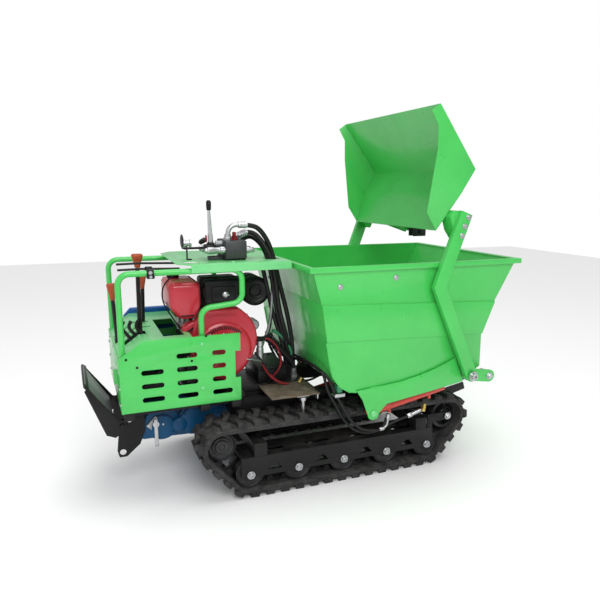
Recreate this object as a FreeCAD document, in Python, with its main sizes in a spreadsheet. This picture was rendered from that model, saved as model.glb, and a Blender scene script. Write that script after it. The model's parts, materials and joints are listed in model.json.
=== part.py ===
# Self loading mini dumper: every rigid piece, in millimetres, drawn with the shovel raised.
# X runs forward, Y to the left and Z up; the ground is Z = 0.  Places along X are counted from the
# middle of the five track rollers, which lies mid_x ahead of the origin.
import FreeCAD
import Part
import Sketcher
import math
import os
import re
from FreeCAD import Placement, Rotation, Vector

os.makedirs("parts", exist_ok=True)
doc = FreeCAD.newDocument("MiniDumper")
sheet = doc.addObject("Spreadsheet::Sheet", "Sizes")
SIZES = {
    # overall
    "mid_x": 110,
    "sheet_gauge": 4,
    "pin_gap": 0.05,
    # rubber tracks
    "track_inner": 220,
    "track_outer": 400,
    "belt_thick": 40,
    "belt_gap": 0.3,
    "roller_count": 5,
    "roller_pitch": 228,
    "roller_rad": 66,
    "roller_hub_rad": 44,
    "roller_side": 376,
    "roller_flange": 40,
    "axle_rad": 12,
    "sprocket_x": -578,
    "sprocket_z": 248,
    "sprocket_rad": 68,
    "idler_x": 572,
    "idler_z": 240,
    "idler_rad": 73,
    "wheel_in": 262,
    "wheel_out": 358,
    # track frames
    "beam_rear": -500,
    "beam_front": 486,
    "beam_low": 95,
    "beam_top": 190,
    "beam_in": 230,
    "beam_out": 390,
    "beam_skin": 8,
    "beam_boss_rad": 26,
    "gusset_side": 34,
    "slot_long": 120,
    "slot_wide": 34,
    # chassis
    "cross_rear": -410,
    "cross_front": 420,
    "tube_side": 60,
    "rail_in": 165,
    "rail_out": 215,
    "rail_deep": 60,
    "rail_top": 400,
    "rail_rear": -500,
    "rail_front": 640,
    "base_rear": -970,
    "base_front": -470,
    "base_deep": 34,
    "base_out": 296,
    "base_edge": 240,
    "base_bar": 40,
    # hopper
    "hinge_x": 700,
    "hinge_pin_rad": 10,
    "hopper_half": 448,
    "rim_z": 1030,
    "rim_deep": 23,
    "rim_reach": 16,
    "rim_rear": -208,
    "rim_front": 900,
    "floor_rise": 49,
    "band_proud": 7,
    # lift arms
    "arm_x": 624,
    "arm_rise": 27,
    "arm_pin_rad": 12,
    "arm_gap": 22,
    "arm_thick": 28,
    "arm_wide": 60,
    "elbow_x": 419,
    "elbow_rise": 442,
    "arm_top_x": 542,
    "arm_top_rise": 776,
    "lever_x": 740,
    "lever_drop": 18,
    "lever_thick": 12,
    "lever_rad": 30,
    # lift cylinders
    "ram_inset": 22,
    "ram_x": 114,
    "ram_drop": 109,
    "ram_rad": 20,
    "ram_bore": 14,
    "ram_rod_rad": 10,
    "ram_barrel": 400,
    "ram_rod_back": 400,
    "ram_eye_rad": 22,
    "ram_eye_half": 11,
    # tip cylinder
    "tip_x": -50,
    "tip_drop": 40,
    "tip_eye_x": 502,
    "tip_eye_drop": 29,
    "tip_rad": 27,
    "tip_bore": 19,
    "tip_rod_rad": 15,
    "tip_barrel": 470,
    "tip_rod_back": 440,
    "tip_eye_half": 18,
    # shovel
    "shovel_reach": 27,
    "heel_inset": 38,
    # body panels
    "panel_y": 300,
    "panel_gauge": 3,
    "panel_rear": -980,
    "panel_front": -469,
    "panel_high": 305,
    "hood_corner_x": -880,
    "hood_drop": 70,
    "deck_high": 609,
    "deck_rear": -720,
    "deck_front": -225,
    "deck_half": 290,
    "deck_flange": 35,
    # bent tubes
    "frame_tube_rad": 12.5,
    "frame_tube_y": 270,
    "frame_tube_rear": -963,
    "tube_drop": 28.5,
    "tube_bend": 46,
    # step
    "step_x": -973,
    "step_z": 336,
    "step_half": 175,
    "step_pin_rad": 9,
    "tow_x": -976,
    "tow_z": 206,
    "tow_rad": 14,
}
# Places that follow from the sizes: each is an expression of sheet names or of earlier places.
FITS = {
    "rail_low": "rail_top - rail_deep",
    "base_top": "rail_top + base_deep",
    "hinge_z": "rail_top",
    "floor_z": "rail_top + floor_rise",
    "rim_low": "rim_z - rim_deep",
    "rim_half": "hopper_half + rim_reach",
    "arm_z": "floor_z + arm_rise",
    "arm_in": "hopper_half + arm_gap",
    "arm_out": "arm_in + arm_thick",
    "elbow_z": "arm_z + elbow_rise",
    "arm_top_z": "arm_z + arm_top_rise",
    "lever_z": "arm_z - lever_drop",
    "lever_out": "arm_in + lever_thick",
    "ram_y": "hopper_half - ram_inset",
    "ram_z": "floor_z - ram_drop",
    "tip_z": "rail_low - tip_drop",
    "tip_eye_z": "floor_z - tip_eye_drop",
    "shovel_half": "hopper_half + shovel_reach",
    "shovel_heel_half": "hopper_half - heel_inset",
    "panel_low": "base_top",
    "panel_top": "base_top + panel_high",
    "hood_corner_z": "panel_top - hood_drop",
    "deck_top": "base_top + deck_high",
    "frame_tube_top": "deck_top - tube_drop",
}
for row, (name, value) in enumerate(SIZES.items(), start=1):
    sheet.set(f"A{row}", name.replace("_", " "))
    sheet.set(f"B{row}", str(value))
    sheet.setAlias(f"B{row}", name)
doc.recompute()
NODES = []


def size(name):
    """Size or place by its name, in millimetres."""
    return measure(FITS[name]) if name in FITS else float(sheet.get(name))


def bind(thing, where, text):
    """Tie a property to an expression in which words are sizes or places."""
    thing.setExpression(where, spelled(text))


def spelled(text):
    """Expression in which every word is a cell of the sheet."""
    def cell(word):
        name = word.group(0)
        return f"({spelled(FITS[name])})" if name in FITS else "Sizes." + name
    return re.sub(r"[a-z_]\w*", cell, str(text))


def over(name, height):
    """Expression of a height counted from a named place, up or down."""
    return f"{name} {'-' if height < 0 else '+'} {abs(height)}"


def keep(thing, label):
    """Give a finished piece its name and put it among the nodes."""
    thing.Label = label
    NODES.append(thing)
    return thing


def add(kind, label):
    thing = doc.addObject(kind, label)
    thing.Label = label
    return thing


def place(thing, x, y, z):
    bind(thing, "Placement.Base.x", f"mid_x + {x}")
    bind(thing, "Placement.Base.y", y)
    bind(thing, "Placement.Base.z", z)


def box(label, x, y, z):
    """Block between two places along each of X, Y and Z."""
    block = add("Part::Box", label)
    bind(block, "Length", f"({x[1]}) - ({x[0]})")
    bind(block, "Width", f"({y[1]}) - ({y[0]})")
    bind(block, "Height", f"({z[1]}) - ({z[0]})")
    place(block, f"({x[0]})", f"({y[0]})", f"({z[0]})")
    return block


def round_y(label, x, z, radius, y):
    """Cylinder that lies along Y between two places."""
    rod = add("Part::Cylinder", label)
    rod.Placement = Placement(Vector(0, 0, 0), Rotation(Vector(1, 0, 0), -90))
    bind(rod, "Radius", radius)
    bind(rod, "Height", f"({y[1]}) - ({y[0]})")
    place(rod, f"({x})", f"({y[0]})", f"({z})")
    return rod


def round_x(label, x, y, z, radius):
    """Cylinder that lies along X between two places."""
    rod = add("Part::Cylinder", label)
    rod.Placement = Placement(Vector(0, 0, 0), Rotation(Vector(0, 1, 0), 90))
    bind(rod, "Radius", radius)
    bind(rod, "Height", f"({x[1]}) - ({x[0]})")
    place(rod, f"({x[0]})", f"({y})", f"({z})")
    return rod


def round_z(label, x, y, z, radius):
    """Upright cylinder between two heights."""
    rod = add("Part::Cylinder", label)
    bind(rod, "Radius", radius)
    bind(rod, "Height", f"({z[1]}) - ({z[0]})")
    place(rod, f"({x})", f"({y})", f"({z[0]})")
    return rod


def join(label, pieces):
    whole = add("Part::MultiFuse", label)
    whole.Shapes = pieces
    return whole


def group(label, pieces):
    """Like pieces that do not touch, kept as one node."""
    whole = add("Part::Compound", label)
    whole.Links = pieces
    return whole


def cut(label, base, tools):
    """The base with one or more tools taken out of it."""
    result = add("Part::Cut", label)
    result.Base = base
    result.Tool = tools[0] if len(tools) == 1 else join(label + "_tools", tools)
    return result


def mirror(label, right):
    """The left-hand twin of a right-hand piece."""
    left = add("Part::Mirroring", label)
    left.Source = right
    left.Normal = (0, 1, 0)
    left.Base = (0, 0, 0)
    return left


def both(name, right):
    """Keep a right-hand piece and its left-hand twin as two nodes."""
    keep(right, name + "_R")
    keep(mirror(name + "_L", right), name + "_L")


def plate(label, outline, y):
    """PartDesign body: a closed outline in X and Z, padded between two places along Y."""
    body = add("PartDesign::Body", label)
    side = next(f for f in body.Origin.OriginFeatures if f.Role == "XZ_Plane")
    sketch = body.newObject("Sketcher::SketchObject", label + "_outline")
    sketch.AttachmentSupport = [(side, "")]
    sketch.MapMode = "FlatFace"
    bind(sketch, "AttachmentOffset.Base.x", "mid_x")
    bind(sketch, "AttachmentOffset.Base.z", f"-({y[1]})")
    spots = [Vector(measure(x), measure(z), 0) for x, z in outline]
    for index, spot in enumerate(spots):
        sketch.addGeometry(Part.LineSegment(spot, spots[(index + 1) % len(spots)]), False)
    for index in range(len(spots)):
        following = (index + 1) % len(spots)
        sketch.addConstraint(Sketcher.Constraint("Coincident", index, 2, following, 1))
    for index, corner in enumerate(outline):
        for kind, text, value in zip(("DistanceX", "DistanceY"), corner, spots[index]):
            number = sketch.addConstraint(Sketcher.Constraint(kind, -1, 1, index, 1, value))
            bind(sketch, f"Constraints[{number}]", text)
    pad = body.newObject("PartDesign::Pad", label + "_pad")
    pad.Profile = sketch
    bind(pad, "Length", f"({y[1]}) - ({y[0]})")
    body.Tip = pad
    return body


def measure(text):
    """Value of an expression written with the sheet's names."""
    total = 0.0
    for sign, word in re.findall(r"([+-]?)\s*([a-z_]\w*|[\d.]+)", str(text)):
        number = size(word) if word[0].isalpha() else float(word)
        total += -number if sign == "-" else number
    return total


def solid(label, shape):
    """A piece whose shape is worked out from the sheet in code."""
    thing = add("Part::Feature", label)
    thing.Shape = shape
    thing.Placement = Placement(Vector(size("mid_x"), 0, 0), Rotation())
    return thing


def slab(corners, depth):
    """Flat polygon pushed along a vector."""
    return Part.Face(Part.makePolygon(corners + corners[:1])).extrude(depth)


def profile(outline, low, high):
    """Closed outline in X and Z between two places along Y."""
    return slab([Vector(x, low, z) for x, z in outline], Vector(0, high - low, 0))


def belt_outline(wheels, grow):
    """Loop around four wheels (x, z, radius), each made larger by grow."""
    ends = []
    for index, (x, z, rad) in enumerate(wheels):
        far_x, far_z, far_rad = wheels[(index + 1) % len(wheels)]
        run = math.hypot(far_x - x, far_z - z)
        turn = math.atan2(far_z - z, far_x - x) - math.acos((rad - far_rad) / run)
        aside = Vector(math.cos(turn), 0, math.sin(turn))
        ends.append((turn, Vector(x, 0, z) + aside * (rad + grow),
                     Vector(far_x, 0, far_z) + aside * (far_rad + grow)))
    edges = []
    for index, (turn, start, stop) in enumerate(ends):
        edges.append(Part.LineSegment(start, stop).toShape())
        x, z, rad = wheels[(index + 1) % len(wheels)]
        next_turn, next_start, _ = ends[(index + 1) % len(ends)]
        sweep = (next_turn - turn) % (2 * math.pi)
        middle = turn + sweep / 2
        crest = Vector(x + (rad + grow) * math.cos(middle), 0, z + (rad + grow) * math.sin(middle))
        edges.append(Part.Arc(stop, crest, next_start).toShape())
    return Part.Face(Part.Wire(edges))


def bent(points, radius, bend):
    """Round tube along straight runs joined by tangent arcs."""
    spots = [Vector(*point) for point in points]
    edges = []
    here = spots[0]
    for before, corner, after in zip(spots, spots[1:], spots[2:]):
        back = (before - corner).normalize()
        ahead = (after - corner).normalize()
        half = (math.pi - back.getAngle(ahead)) / 2
        longest = 0.45 * min((before - corner).Length, (after - corner).Length)
        reach = min(bend * math.tan(half), longest)
        first = corner + back * reach
        last = corner + ahead * reach
        inward = (back + ahead).normalize()
        arc = reach / math.tan(half)
        crest = corner + inward * (arc / math.cos(half) - arc)
        edges.append(Part.LineSegment(here, first).toShape())
        edges.append(Part.Arc(first, crest, last).toShape())
        here = last
    edges.append(Part.LineSegment(here, spots[-1]).toShape())
    path = Part.Wire(edges)
    start = Part.Circle(spots[0], spots[1] - spots[0], radius)
    return path.makePipeShell([Part.Wire(start.toShape())], True, True)


# ---------------------------------------------------------------- rubber tracks and their wheels
def rubber_track():
    last = (size("roller_count") - 1) / 2 * size("roller_pitch")
    low = size("roller_rad") + size("belt_gap") + size("belt_thick")
    wheels = [(size("sprocket_x"), size("sprocket_z"), size("sprocket_rad")),
              (-last, low, size("roller_rad")), (last, low, size("roller_rad")),
              (size("idler_x"), size("idler_z"), size("idler_rad"))]
    outer = belt_outline(wheels, size("belt_gap") + size("belt_thick"))
    ring = outer.cut(belt_outline(wheels, size("belt_gap")))
    ring.translate(Vector(0, -size("track_outer"), 0))
    width = size("track_outer") - size("track_inner")
    loop = ring.Faces[0].extrude(Vector(0, width, 0))
    return solid("rubber_track", loop)


ROLLER_Z = "roller_rad + belt_gap + belt_thick"


def roller_places():
    """Place of each roller along X, as an expression."""
    count = int(size("roller_count"))
    return [f"roller_pitch * {index - (count - 1) / 2}" for index in range(count)]


def track_rollers():
    wheels = []
    for index, x in enumerate(roller_places()):
        name = f"roller_{index}"
        outer = round_y(name + "_outer", x, ROLLER_Z, "roller_rad",
                        ("-roller_side", "roller_flange - roller_side"))
        inner = round_y(name + "_inner", x, ROLLER_Z, "roller_rad",
                        ("-beam_in - beam_skin - 6 - roller_flange", "-beam_in - beam_skin - 6"))
        hub = round_y(name + "_hub", x, ROLLER_Z, "roller_hub_rad",
                      ("-roller_side", "-beam_in - beam_skin - 6"))
        axle = round_y(name + "_axle", x, ROLLER_Z, "axle_rad", ("-beam_out - 8", "-beam_in + 6"))
        wheels.append(join(name, [outer, inner, hub, axle]))
    return group("track_rollers", wheels)


def track_frame():
    x = ("beam_rear", "beam_front")
    pieces = [
        box("beam_outer", x, ("-beam_out", "-beam_out + beam_skin"), ("beam_low", "beam_top")),
        box("beam_inner", x, ("-beam_in - beam_skin", "-beam_in"), ("beam_low", "beam_top")),
        box("beam_cap", x, ("-beam_out", "-beam_in"), ("beam_top - beam_skin", "beam_top"))]
    for index, spot in enumerate(roller_places()):
        for name, low in (("outer", "-beam_out"), ("inner", "-beam_in - beam_skin")):
            pieces.append(round_y(f"beam_boss_{name}_{index}", spot, ROLLER_Z, "beam_boss_rad",
                                  (low, f"{low} + beam_skin")))
    for name, low in (("outer", "-beam_out + 2"), ("inner", "-beam_in - 10")):
        pieces.append(box(f"idler_arm_{name}", ("beam_front - 30", "idler_x + 24"),
                          (low, f"{low} + beam_skin"), ("idler_z - 20", "idler_z + 20")))
        pieces.append(box(f"idler_leg_{name}", ("beam_front - 30", "beam_front"),
                          (low, f"{low} + beam_skin"), ("beam_low", "idler_z + 20")))
    shell = join("beam_shell", pieces)
    holes = []
    for index, spot in enumerate(roller_places()):
        holes.append(round_y(f"beam_bore_{index}", spot, ROLLER_Z, "axle_rad + pin_gap",
                             ("-track_outer", "-track_inner")))
        if index:
            middle = f"{spot} - roller_pitch / 2"
            gusset = plate(f"beam_window_{index}",
                           [(f"0 - gusset_side", "beam_low + 24"), ("gusset_side", "beam_low + 24"),
                            ("10", "beam_low + 52"), ("-10", "beam_low + 52")],
                           ("-track_outer", "-track_inner"))
            bind(gusset, "Placement.Base.x", middle)
            holes.append(gusset)
            holes.append(box(f"beam_slot_{index}", (f"{middle} - slot_long / 2",
                                                    f"{middle} + slot_long / 2"),
                             ("-beam_out + 50", "-beam_out + 50 + slot_wide"),
                             ("beam_top - 20", "beam_top + 5")))
    holes.append(round_y("idler_bore", "idler_x", "idler_z", "axle_rad + pin_gap",
                         ("-track_outer", "-track_inner")))
    return cut("track_frame", shell, holes)


def drive_sprocket():
    wide = ("-wheel_out", "-wheel_in")
    disc = round_y("sprocket_disc", "sprocket_x", "sprocket_z", "sprocket_rad - 12",
                   ("-wheel_in - 56", "-wheel_in - 40"))
    rim = cut("sprocket_rim", round_y("sprocket_out", "sprocket_x", "sprocket_z", "sprocket_rad", wide),
              [round_y("sprocket_in", "sprocket_x", "sprocket_z", "sprocket_rad - 14",
                       ("-track_outer", "-track_inner"))])
    hub = round_y("sprocket_hub", "sprocket_x", "sprocket_z", "28", ("-wheel_out + 6", "-wheel_in"))
    bore = round_y("sprocket_bore", "sprocket_x", "sprocket_z", "18", ("-track_outer", "-track_inner"))
    return cut("drive_sprocket", join("sprocket_wheel", [disc, rim, hub]), [bore])


def drive_axle():
    shafts = []
    for name, y in (("right", ("-wheel_out + 2", "-150")), ("left", ("150", "wheel_out - 2"))):
        shafts.append(round_y("axle_" + name, "sprocket_x", "sprocket_z", "18", y))
    return group("drive_axle", shafts)


def idler():
    wide = ("-wheel_out", "-wheel_in")
    rim = cut("idler_rim", round_y("idler_out", "idler_x", "idler_z", "idler_rad", wide),
              [round_y("idler_in", "idler_x", "idler_z", "idler_rad - 16",
                       ("-track_outer", "-track_inner"))])
    web = round_y("idler_web", "idler_x", "idler_z", "idler_rad - 10",
                  ("-wheel_in - 54", "-wheel_in - 42"))
    hub = round_y("idler_hub", "idler_x", "idler_z", "26", ("-wheel_out - 6", "-wheel_in + 6"))
    pin = round_y("idler_pin", "idler_x", "idler_z", "axle_rad", ("-beam_out - 2", "-beam_in + 6"))
    return join("idler", [rim, web, hub, pin])


# ---------------------------------------------------------------- chassis
def crossbeams():
    bars = []
    for name in ("rear", "front"):
        middle = "cross_" + name
        x = (f"{middle} - tube_side / 2", f"{middle} + tube_side / 2")
        pieces = [box(f"crossbeam_{name}", x, ("-beam_out", "beam_out"),
                      ("beam_top", "beam_top + tube_side"))]
        for side, y in (("right", ("-rail_out", "-rail_in")), ("left", ("rail_in", "rail_out"))):
            pieces.append(box(f"post_{name}_{side}", x, y, ("beam_top + tube_side", "rail_low")))
        bars.append(join(f"beam_{name}", pieces))
    return group("crossbeams", bars)


def chassis_frame():
    pieces = []
    for side, sign in (("right", -1), ("left", 1)):
        rail = ("-rail_out", "-rail_in") if sign < 0 else ("rail_in", "rail_out")
        edge = ("-base_edge", "-base_edge + base_bar") if sign < 0 else ("base_edge - base_bar", "base_edge")
        ear = ("-rail_out", "-rail_out + 12") if sign < 0 else ("rail_out - 12", "rail_out")
        tab = ("-46", "-36") if sign < 0 else ("36", "46")
        pieces.append(box("rail_" + side, ("rail_rear", "rail_front"), rail, ("rail_low", "rail_top")))
        pieces.append(box("base_edge_" + side, ("base_rear", "base_front"), edge, ("rail_top", "base_top")))
        pieces.append(box("rail_foot_" + side, ("rail_rear", "base_front + 40"), rail,
                          ("rail_top", "base_top")))
        pieces.append(plate("hinge_ear_" + side,
                            [("560", "rail_low + 4"), ("600", "290"), ("667", "267"), ("800", "300"),
                             ("790", "335"), ("hinge_x + 24", "hinge_z - 22"),
                             ("hinge_x + 16", "hinge_z + 14"), ("hinge_x", "hinge_z + 22"),
                             ("hinge_x - 20", "hinge_z + 14"), ("620", "hinge_z - 4"),
                             ("560", "hinge_z - 4")], ear))
        pieces.append(round_y("hinge_pin_" + side, "hinge_x", "hinge_z", "hinge_pin_rad",
                              ("-rail_out - 4", "-176") if sign < 0 else ("176", "rail_out + 4")))
        pieces.append(plate("ram_tab_" + side,
                            [("-112", "rail_low + 2"), ("-62", "rail_low + 2"),
                             ("tip_x + 24", "tip_z + 16"), ("tip_x + 24", "tip_z - 18"),
                             ("tip_x - 20", "tip_z - 22"), ("-112", "320")], tab))
    across = ("-rail_in", "rail_in")
    pieces.append(box("rail_cross_mid", ("-112", "-62"), across, ("rail_low", "rail_top")))
    pieces.append(box("rail_cross_front", ("560", "610"), across, ("rail_low", "rail_low + 40")))
    for name, x in (("rear", "base_rear"), ("mid", "-650"), ("front", "base_front - base_bar")):
        pieces.append(box("base_cross_" + name, (x, f"{x} + base_bar"),
                          ("-base_out", "base_out"), ("rail_top", "base_top")))
    pieces.append(round_y("tip_pin", "tip_x", "tip_z", "hinge_pin_rad", ("-50", "50")))
    return join("chassis_frame", pieces)


def hopper_rests():
    """Two stands under the rear of the hopper, welded on the rails."""
    stands = []
    for side, y in (("right", ("-rail_out", "-rail_in")), ("left", ("rail_in", "rail_out"))):
        stands.append(box("rest_" + side, ("40", "100"), y, ("rail_top", "floor_z - 5.5")))
    return group("hopper_rests", stands)


def gearbox():
    pieces = [
        box("gear_case", ("-640", "-500"), ("-140", "140"), ("200", "rail_top - 8")),
        box("gear_bridge", ("-880", "-640"), ("-120", "120"), ("236", "rail_top - 24")),
        round_y("gear_drum", "-800", "314", "78", ("-150", "150")),
        round_y("gear_drum_fore", "-660", "310", "70", ("-148", "148")),
        round_y("gear_neck", "sprocket_x", "sprocket_z", "34", ("-149", "149"))]
    for side, y in (("right", ("-90", "-60")), ("left", ("60", "90"))):
        pieces.append(box("gear_lug_" + side, ("-860", "-560"), y, ("300", "rail_top")))
    return join("gearbox", pieces)


def gear_flange():
    """Diamond-shaped cover with the upright shift arm on its face."""
    cover = plate("flange_plate", [("-872", "314"), ("-830", "356"), ("-788", "314"), ("-830", "272")],
                  ("-162", "-150.5"))
    arm = box("flange_arm", ("-838", "-822"), ("-172", "-162"), ("214", "324"))
    return join("gear_flange", [cover, arm])


# ---------------------------------------------------------------- step
def step_bracket():
    outline = [("-930", "rail_top"), ("-876", "rail_top"), ("-876", "300"), ("-900", "236"),
               ("-960", "184"), ("-992", "184"), ("-1000", "214"), ("-990", "300"),
               ("-1002", "330"), ("-996", "356"), ("-974", "366")]
    sides = []
    for side, y in (("right", ("-162", "-154")), ("left", ("154", "162"))):
        sides.append(plate("step_cheek_" + side, outline, y))
        sides.append(round_y("step_pin_" + side, "step_x", "step_z", "step_pin_rad",
                             ("-184", "-150") if side == "right" else ("150", "184")))
    tie = box("step_tie", ("-930", "-886"), ("-154", "154"), ("rail_top - 60", "rail_top - 52"))
    shell = join("step_cheeks", sides + [tie])
    return cut("step_bracket", shell, [round_y("tow_hole", "tow_x", "tow_z", "tow_rad", ("-200", "200"))])


def foot_step():
    outline = [("-950", "330"), ("-962", "313"), ("-1004", "284"), ("-1041", "300"), ("-1118", "510"),
               ("-1103", "522"), ("-988", "364"), ("-958", "358")]
    pieces = []
    for side, y in (("right", ("-step_half", "-step_half + 6")), ("left", ("step_half - 6", "step_half"))):
        pieces.append(plate("step_side_" + side, outline, y))
    pieces.append(plate("step_tread", [("-1007", "369"), ("-1014", "364"), ("-1121", "531"),
                                       ("-1114", "536")], ("-step_half", "step_half")))
    pieces.append(plate("step_lip", [("-1121", "531"), ("-1114", "536"), ("-1098", "524"),
                                     ("-1102", "516")], ("-step_half", "step_half")))
    shell = join("step_shell", pieces)
    return cut("foot_step", shell, [round_y("step_bore", "step_x", "step_z", "step_pin_rad + pin_gap",
                                            ("-200", "200"))])


# ---------------------------------------------------------------- body panels and tubes
def slot(label, x, z, length, y):
    """Rounded slot through a side panel."""
    rad = 11
    core = box(label + "_core", (f"{x} - {length / 2 - rad}", f"{x} + {length / 2 - rad}"), y,
               (f"{z} - {rad}", f"{z} + {rad}"))
    ends = [round_y(f"{label}_end_{index}", f"{x} + {shift}", z, rad, y)
            for index, shift in enumerate((rad - length / 2, length / 2 - rad))]
    return join(label, [core] + ends)


def side_panel():
    outline = [("panel_rear", "panel_low"), ("panel_front", "panel_low"), ("panel_front", "panel_low + 106"),
               ("panel_front - 24", "panel_low + 106"), ("panel_front - 24", "panel_low + 226"),
               ("panel_front", "panel_low + 226"),
               ("panel_front", "panel_top"), ("hood_corner_x", "panel_top"),
               ("panel_rear", "hood_corner_z")]
    face = plate("panel_face", outline, ("-panel_y", "-panel_y + panel_gauge"))
    flange = box("panel_flange", ("-660", "panel_front"), ("-panel_y", "-panel_y + 14"),
                 ("panel_top - panel_gauge", "panel_top"))
    vents = []
    for column, (x, first, length) in enumerate(((-848, 0, 92), (-703, 0, 88), (-565, 0, 60))):
        rows = 3 if column == 0 else 4
        for index in range(first, rows):
            wide = 88 if column == 2 and index == 0 else length
            vents.append(slot(f"vent_{column}_{index}", str(x + (14 if wide > length else 0)),
                              f"panel_low + {50 + 59 * index}", wide, ("-panel_y - 5", "-panel_y + 8")))
    return cut("side_panel", join("panel_sheet", [face, flange]), vents)


def rear_panel():
    sheet_metal = box("rear_sheet", ("panel_rear", "panel_rear + panel_gauge"),
                      ("-panel_y + panel_gauge", "panel_y - panel_gauge"), ("panel_low", "hood_corner_z"))
    latch = box("rear_latch", ("panel_rear - 14", "panel_rear"), ("-150", "-110"),
                ("panel_low + 86", "panel_low + 146"))
    return join("rear_panel", [sheet_metal, latch])


def console_cover():
    wide = ("-panel_y + panel_gauge", "panel_y - panel_gauge")
    slope = plate("hood_slope", [("panel_rear + panel_gauge", "hood_corner_z"),
                                 ("hood_corner_x", "panel_top"), ("hood_corner_x", "panel_top - 4"),
                                 ("panel_rear + panel_gauge", "hood_corner_z - 4")], wide)
    top = box("hood_top", ("hood_corner_x", "-675"), wide, ("panel_top - panel_gauge", "panel_top"))
    through = ("panel_top - 139", "panel_top + 5")
    holes = [box("hood_hole", ("-789", "-700"), ("-242", "112"), ("panel_top - 30", "panel_top + 5"))]
    for index, y in enumerate((-24, 85)):
        holes.append(box(f"lever_slot_{index}", ("-972", "-815"), (str(y - 10), str(y + 10)), through))
    holes.append(box("lever_slot_near", ("-940", "-850"), ("-166", "-101"), through))
    for index, y in enumerate(("-frame_tube_y", "frame_tube_y")):
        holes.append(round_z(f"tube_notch_{index}", "frame_tube_rear", y, ("panel_top - 139", "panel_top"),
                             "frame_tube_rad + 1"))
    return cut("console_cover", join("hood_sheet", [slope, top]), holes)


def frame_tube():
    y = -size("frame_tube_y")
    top = size("frame_tube_top")
    rear = size("frame_tube_rear")
    low = size("base_top")
    path = [(rear, y, low), (rear, y, top), (-448, y, top), (-448, y, top - 144.5), (-631, y, top - 162.5),
            (-631, y, low)]
    return solid("frame_tube", bent(path, size("frame_tube_rad"), size("tube_bend")))


def control_deck():
    top = size("deck_top")
    half = size("deck_half")
    rear = size("deck_rear")
    front = size("deck_front")
    gauge = size("sheet_gauge")
    corners = [(rear + 52, -half), (front, -half), (front, half), (rear + 52, half),
               (rear, half - 70), (rear, 70 - half)]
    sheet_metal = slab([Vector(x, y, top - gauge) for x, y in corners], Vector(0, 0, gauge))
    low = top - size("deck_flange")
    for y in (-half, half - gauge):
        flange = Part.makeBox(front - rear - 52, gauge, top - low, Vector(rear + 52, y, low))
        sheet_metal = sheet_metal.fuse(flange)
    fore = Part.makeBox(gauge, 2 * half, top - low, Vector(front - gauge, -half, low))
    sheet_metal = sheet_metal.fuse(fore)
    tube_top = size("frame_tube_top") + size("frame_tube_rad")
    for x in (-640, -500):
        for y in (-size("frame_tube_y"), size("frame_tube_y")):
            pad = Part.makeBox(40, 12, top - gauge - tube_top + 1, Vector(x, y - 6, tube_top - 1))
            tube = Part.makeCylinder(size("frame_tube_rad"), 80, Vector(x - 20, y, size("frame_tube_top")),
                                     Vector(1, 0, 0))
            sheet_metal = sheet_metal.fuse(pad.cut(tube))
    hole = Part.makeCylinder(35, 20, Vector(-650, -180, top - 10))
    hose_hole = Part.makeBox(64, 90, 20, Vector(-310, -200, top - 10))
    return solid("control_deck", sheet_metal.cut(hole).cut(hose_hole).removeSplitter())


# ---------------------------------------------------------------- engine
def engine_block():
    return box("engine_block", ("-690", "-440"), ("-118", "150"), ("base_top", "base_top + 286"))


def engine_shroud():
    depth = ("-200", "-120")
    case = round_y("shroud_case", "-520", "base_top + 206", "150", depth)
    outline = [("-672", 166), ("-672", 306), ("-640", 350), ("-600", 392), ("-440", 396), ("-372", 318),
               ("-356", 256), ("-386", 166)]
    neck = plate("shroud_neck", [(x, over("base_top", rise)) for x, rise in outline], depth)
    return join("engine_shroud", [case, neck])


def fuel_tank():
    outline = [("-740", 521), ("-618", 521), ("-610", 506), ("-610", 404), ("-640", 356), ("-708", 356),
               ("-748", 404), ("-750", 506)]
    body = plate("tank_body", [(x, over("base_top", rise)) for x, rise in outline], ("-190", "60"))
    return join("fuel_tank", [body, round_z("tank_cap", "-700", "0", ("base_top + 516", "base_top + 541"),
                                            "22")])


def air_cleaner():
    return box("air_cleaner", ("-590", "-420"), ("-170", "-10"), ("base_top + 398", "base_top + 530"))


def muffler():
    drum = round_y("muffler_drum", "-336", "base_top + 450", "70", ("-110", "60"))
    neck = round_x("muffler_neck", ("-419", "-330"), "-25", "base_top + 450", "24")
    return join("muffler", [drum, neck])


def engine_head():
    return box("engine_head", ("-600", "-440"), ("-110", "110"), ("base_top + 287", "base_top + 397"))


def starter_motor():
    return round_y("starter_motor", "-400", "base_top + 266", "38", ("-90", "60"))


def belt_guard():
    outline = [("-904", "base_top + 20"), ("-650", "base_top + 20"), ("-650", "base_top + 301"),
               ("-676", "base_top + 328"), ("-870", "base_top + 328"), ("-904", "base_top + 291")]
    return plate("belt_guard", outline, ("panel_y + 3", "panel_y + 40"))


def control_valve():
    block = box("valve_block", ("-484", "-409"), ("-190", "-20"), ("deck_top", "deck_top + 80"))
    rear = box("valve_base", ("-600", "-484"), ("-150", "-90"), ("deck_top", "deck_top + 40"))
    pieces = [block, rear]
    for index, y in enumerate((-155, -105, -55)):
        pieces.append(round_x(f"spool_{index}", ("-560", "-355"), str(y), "deck_top + 46", "10"))
    for index, y in enumerate((-150, -80)):
        pieces.append(round_z(f"port_{index}", "-446", str(y), ("deck_top + 70", "deck_top + 104"), "14"))
    return join("control_valve", pieces)


def valve_lever():
    deck = size("deck_top")
    stalk = solid("valve_stalk", bent([(-548, -130, deck + 41), (-553, -130, deck + 223)], 6, 40))
    grip = round_z("valve_grip", "-553", "-130", ("deck_top + 219", "deck_top + 261"), "11")
    return join("valve_lever", [stalk, grip])


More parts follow.
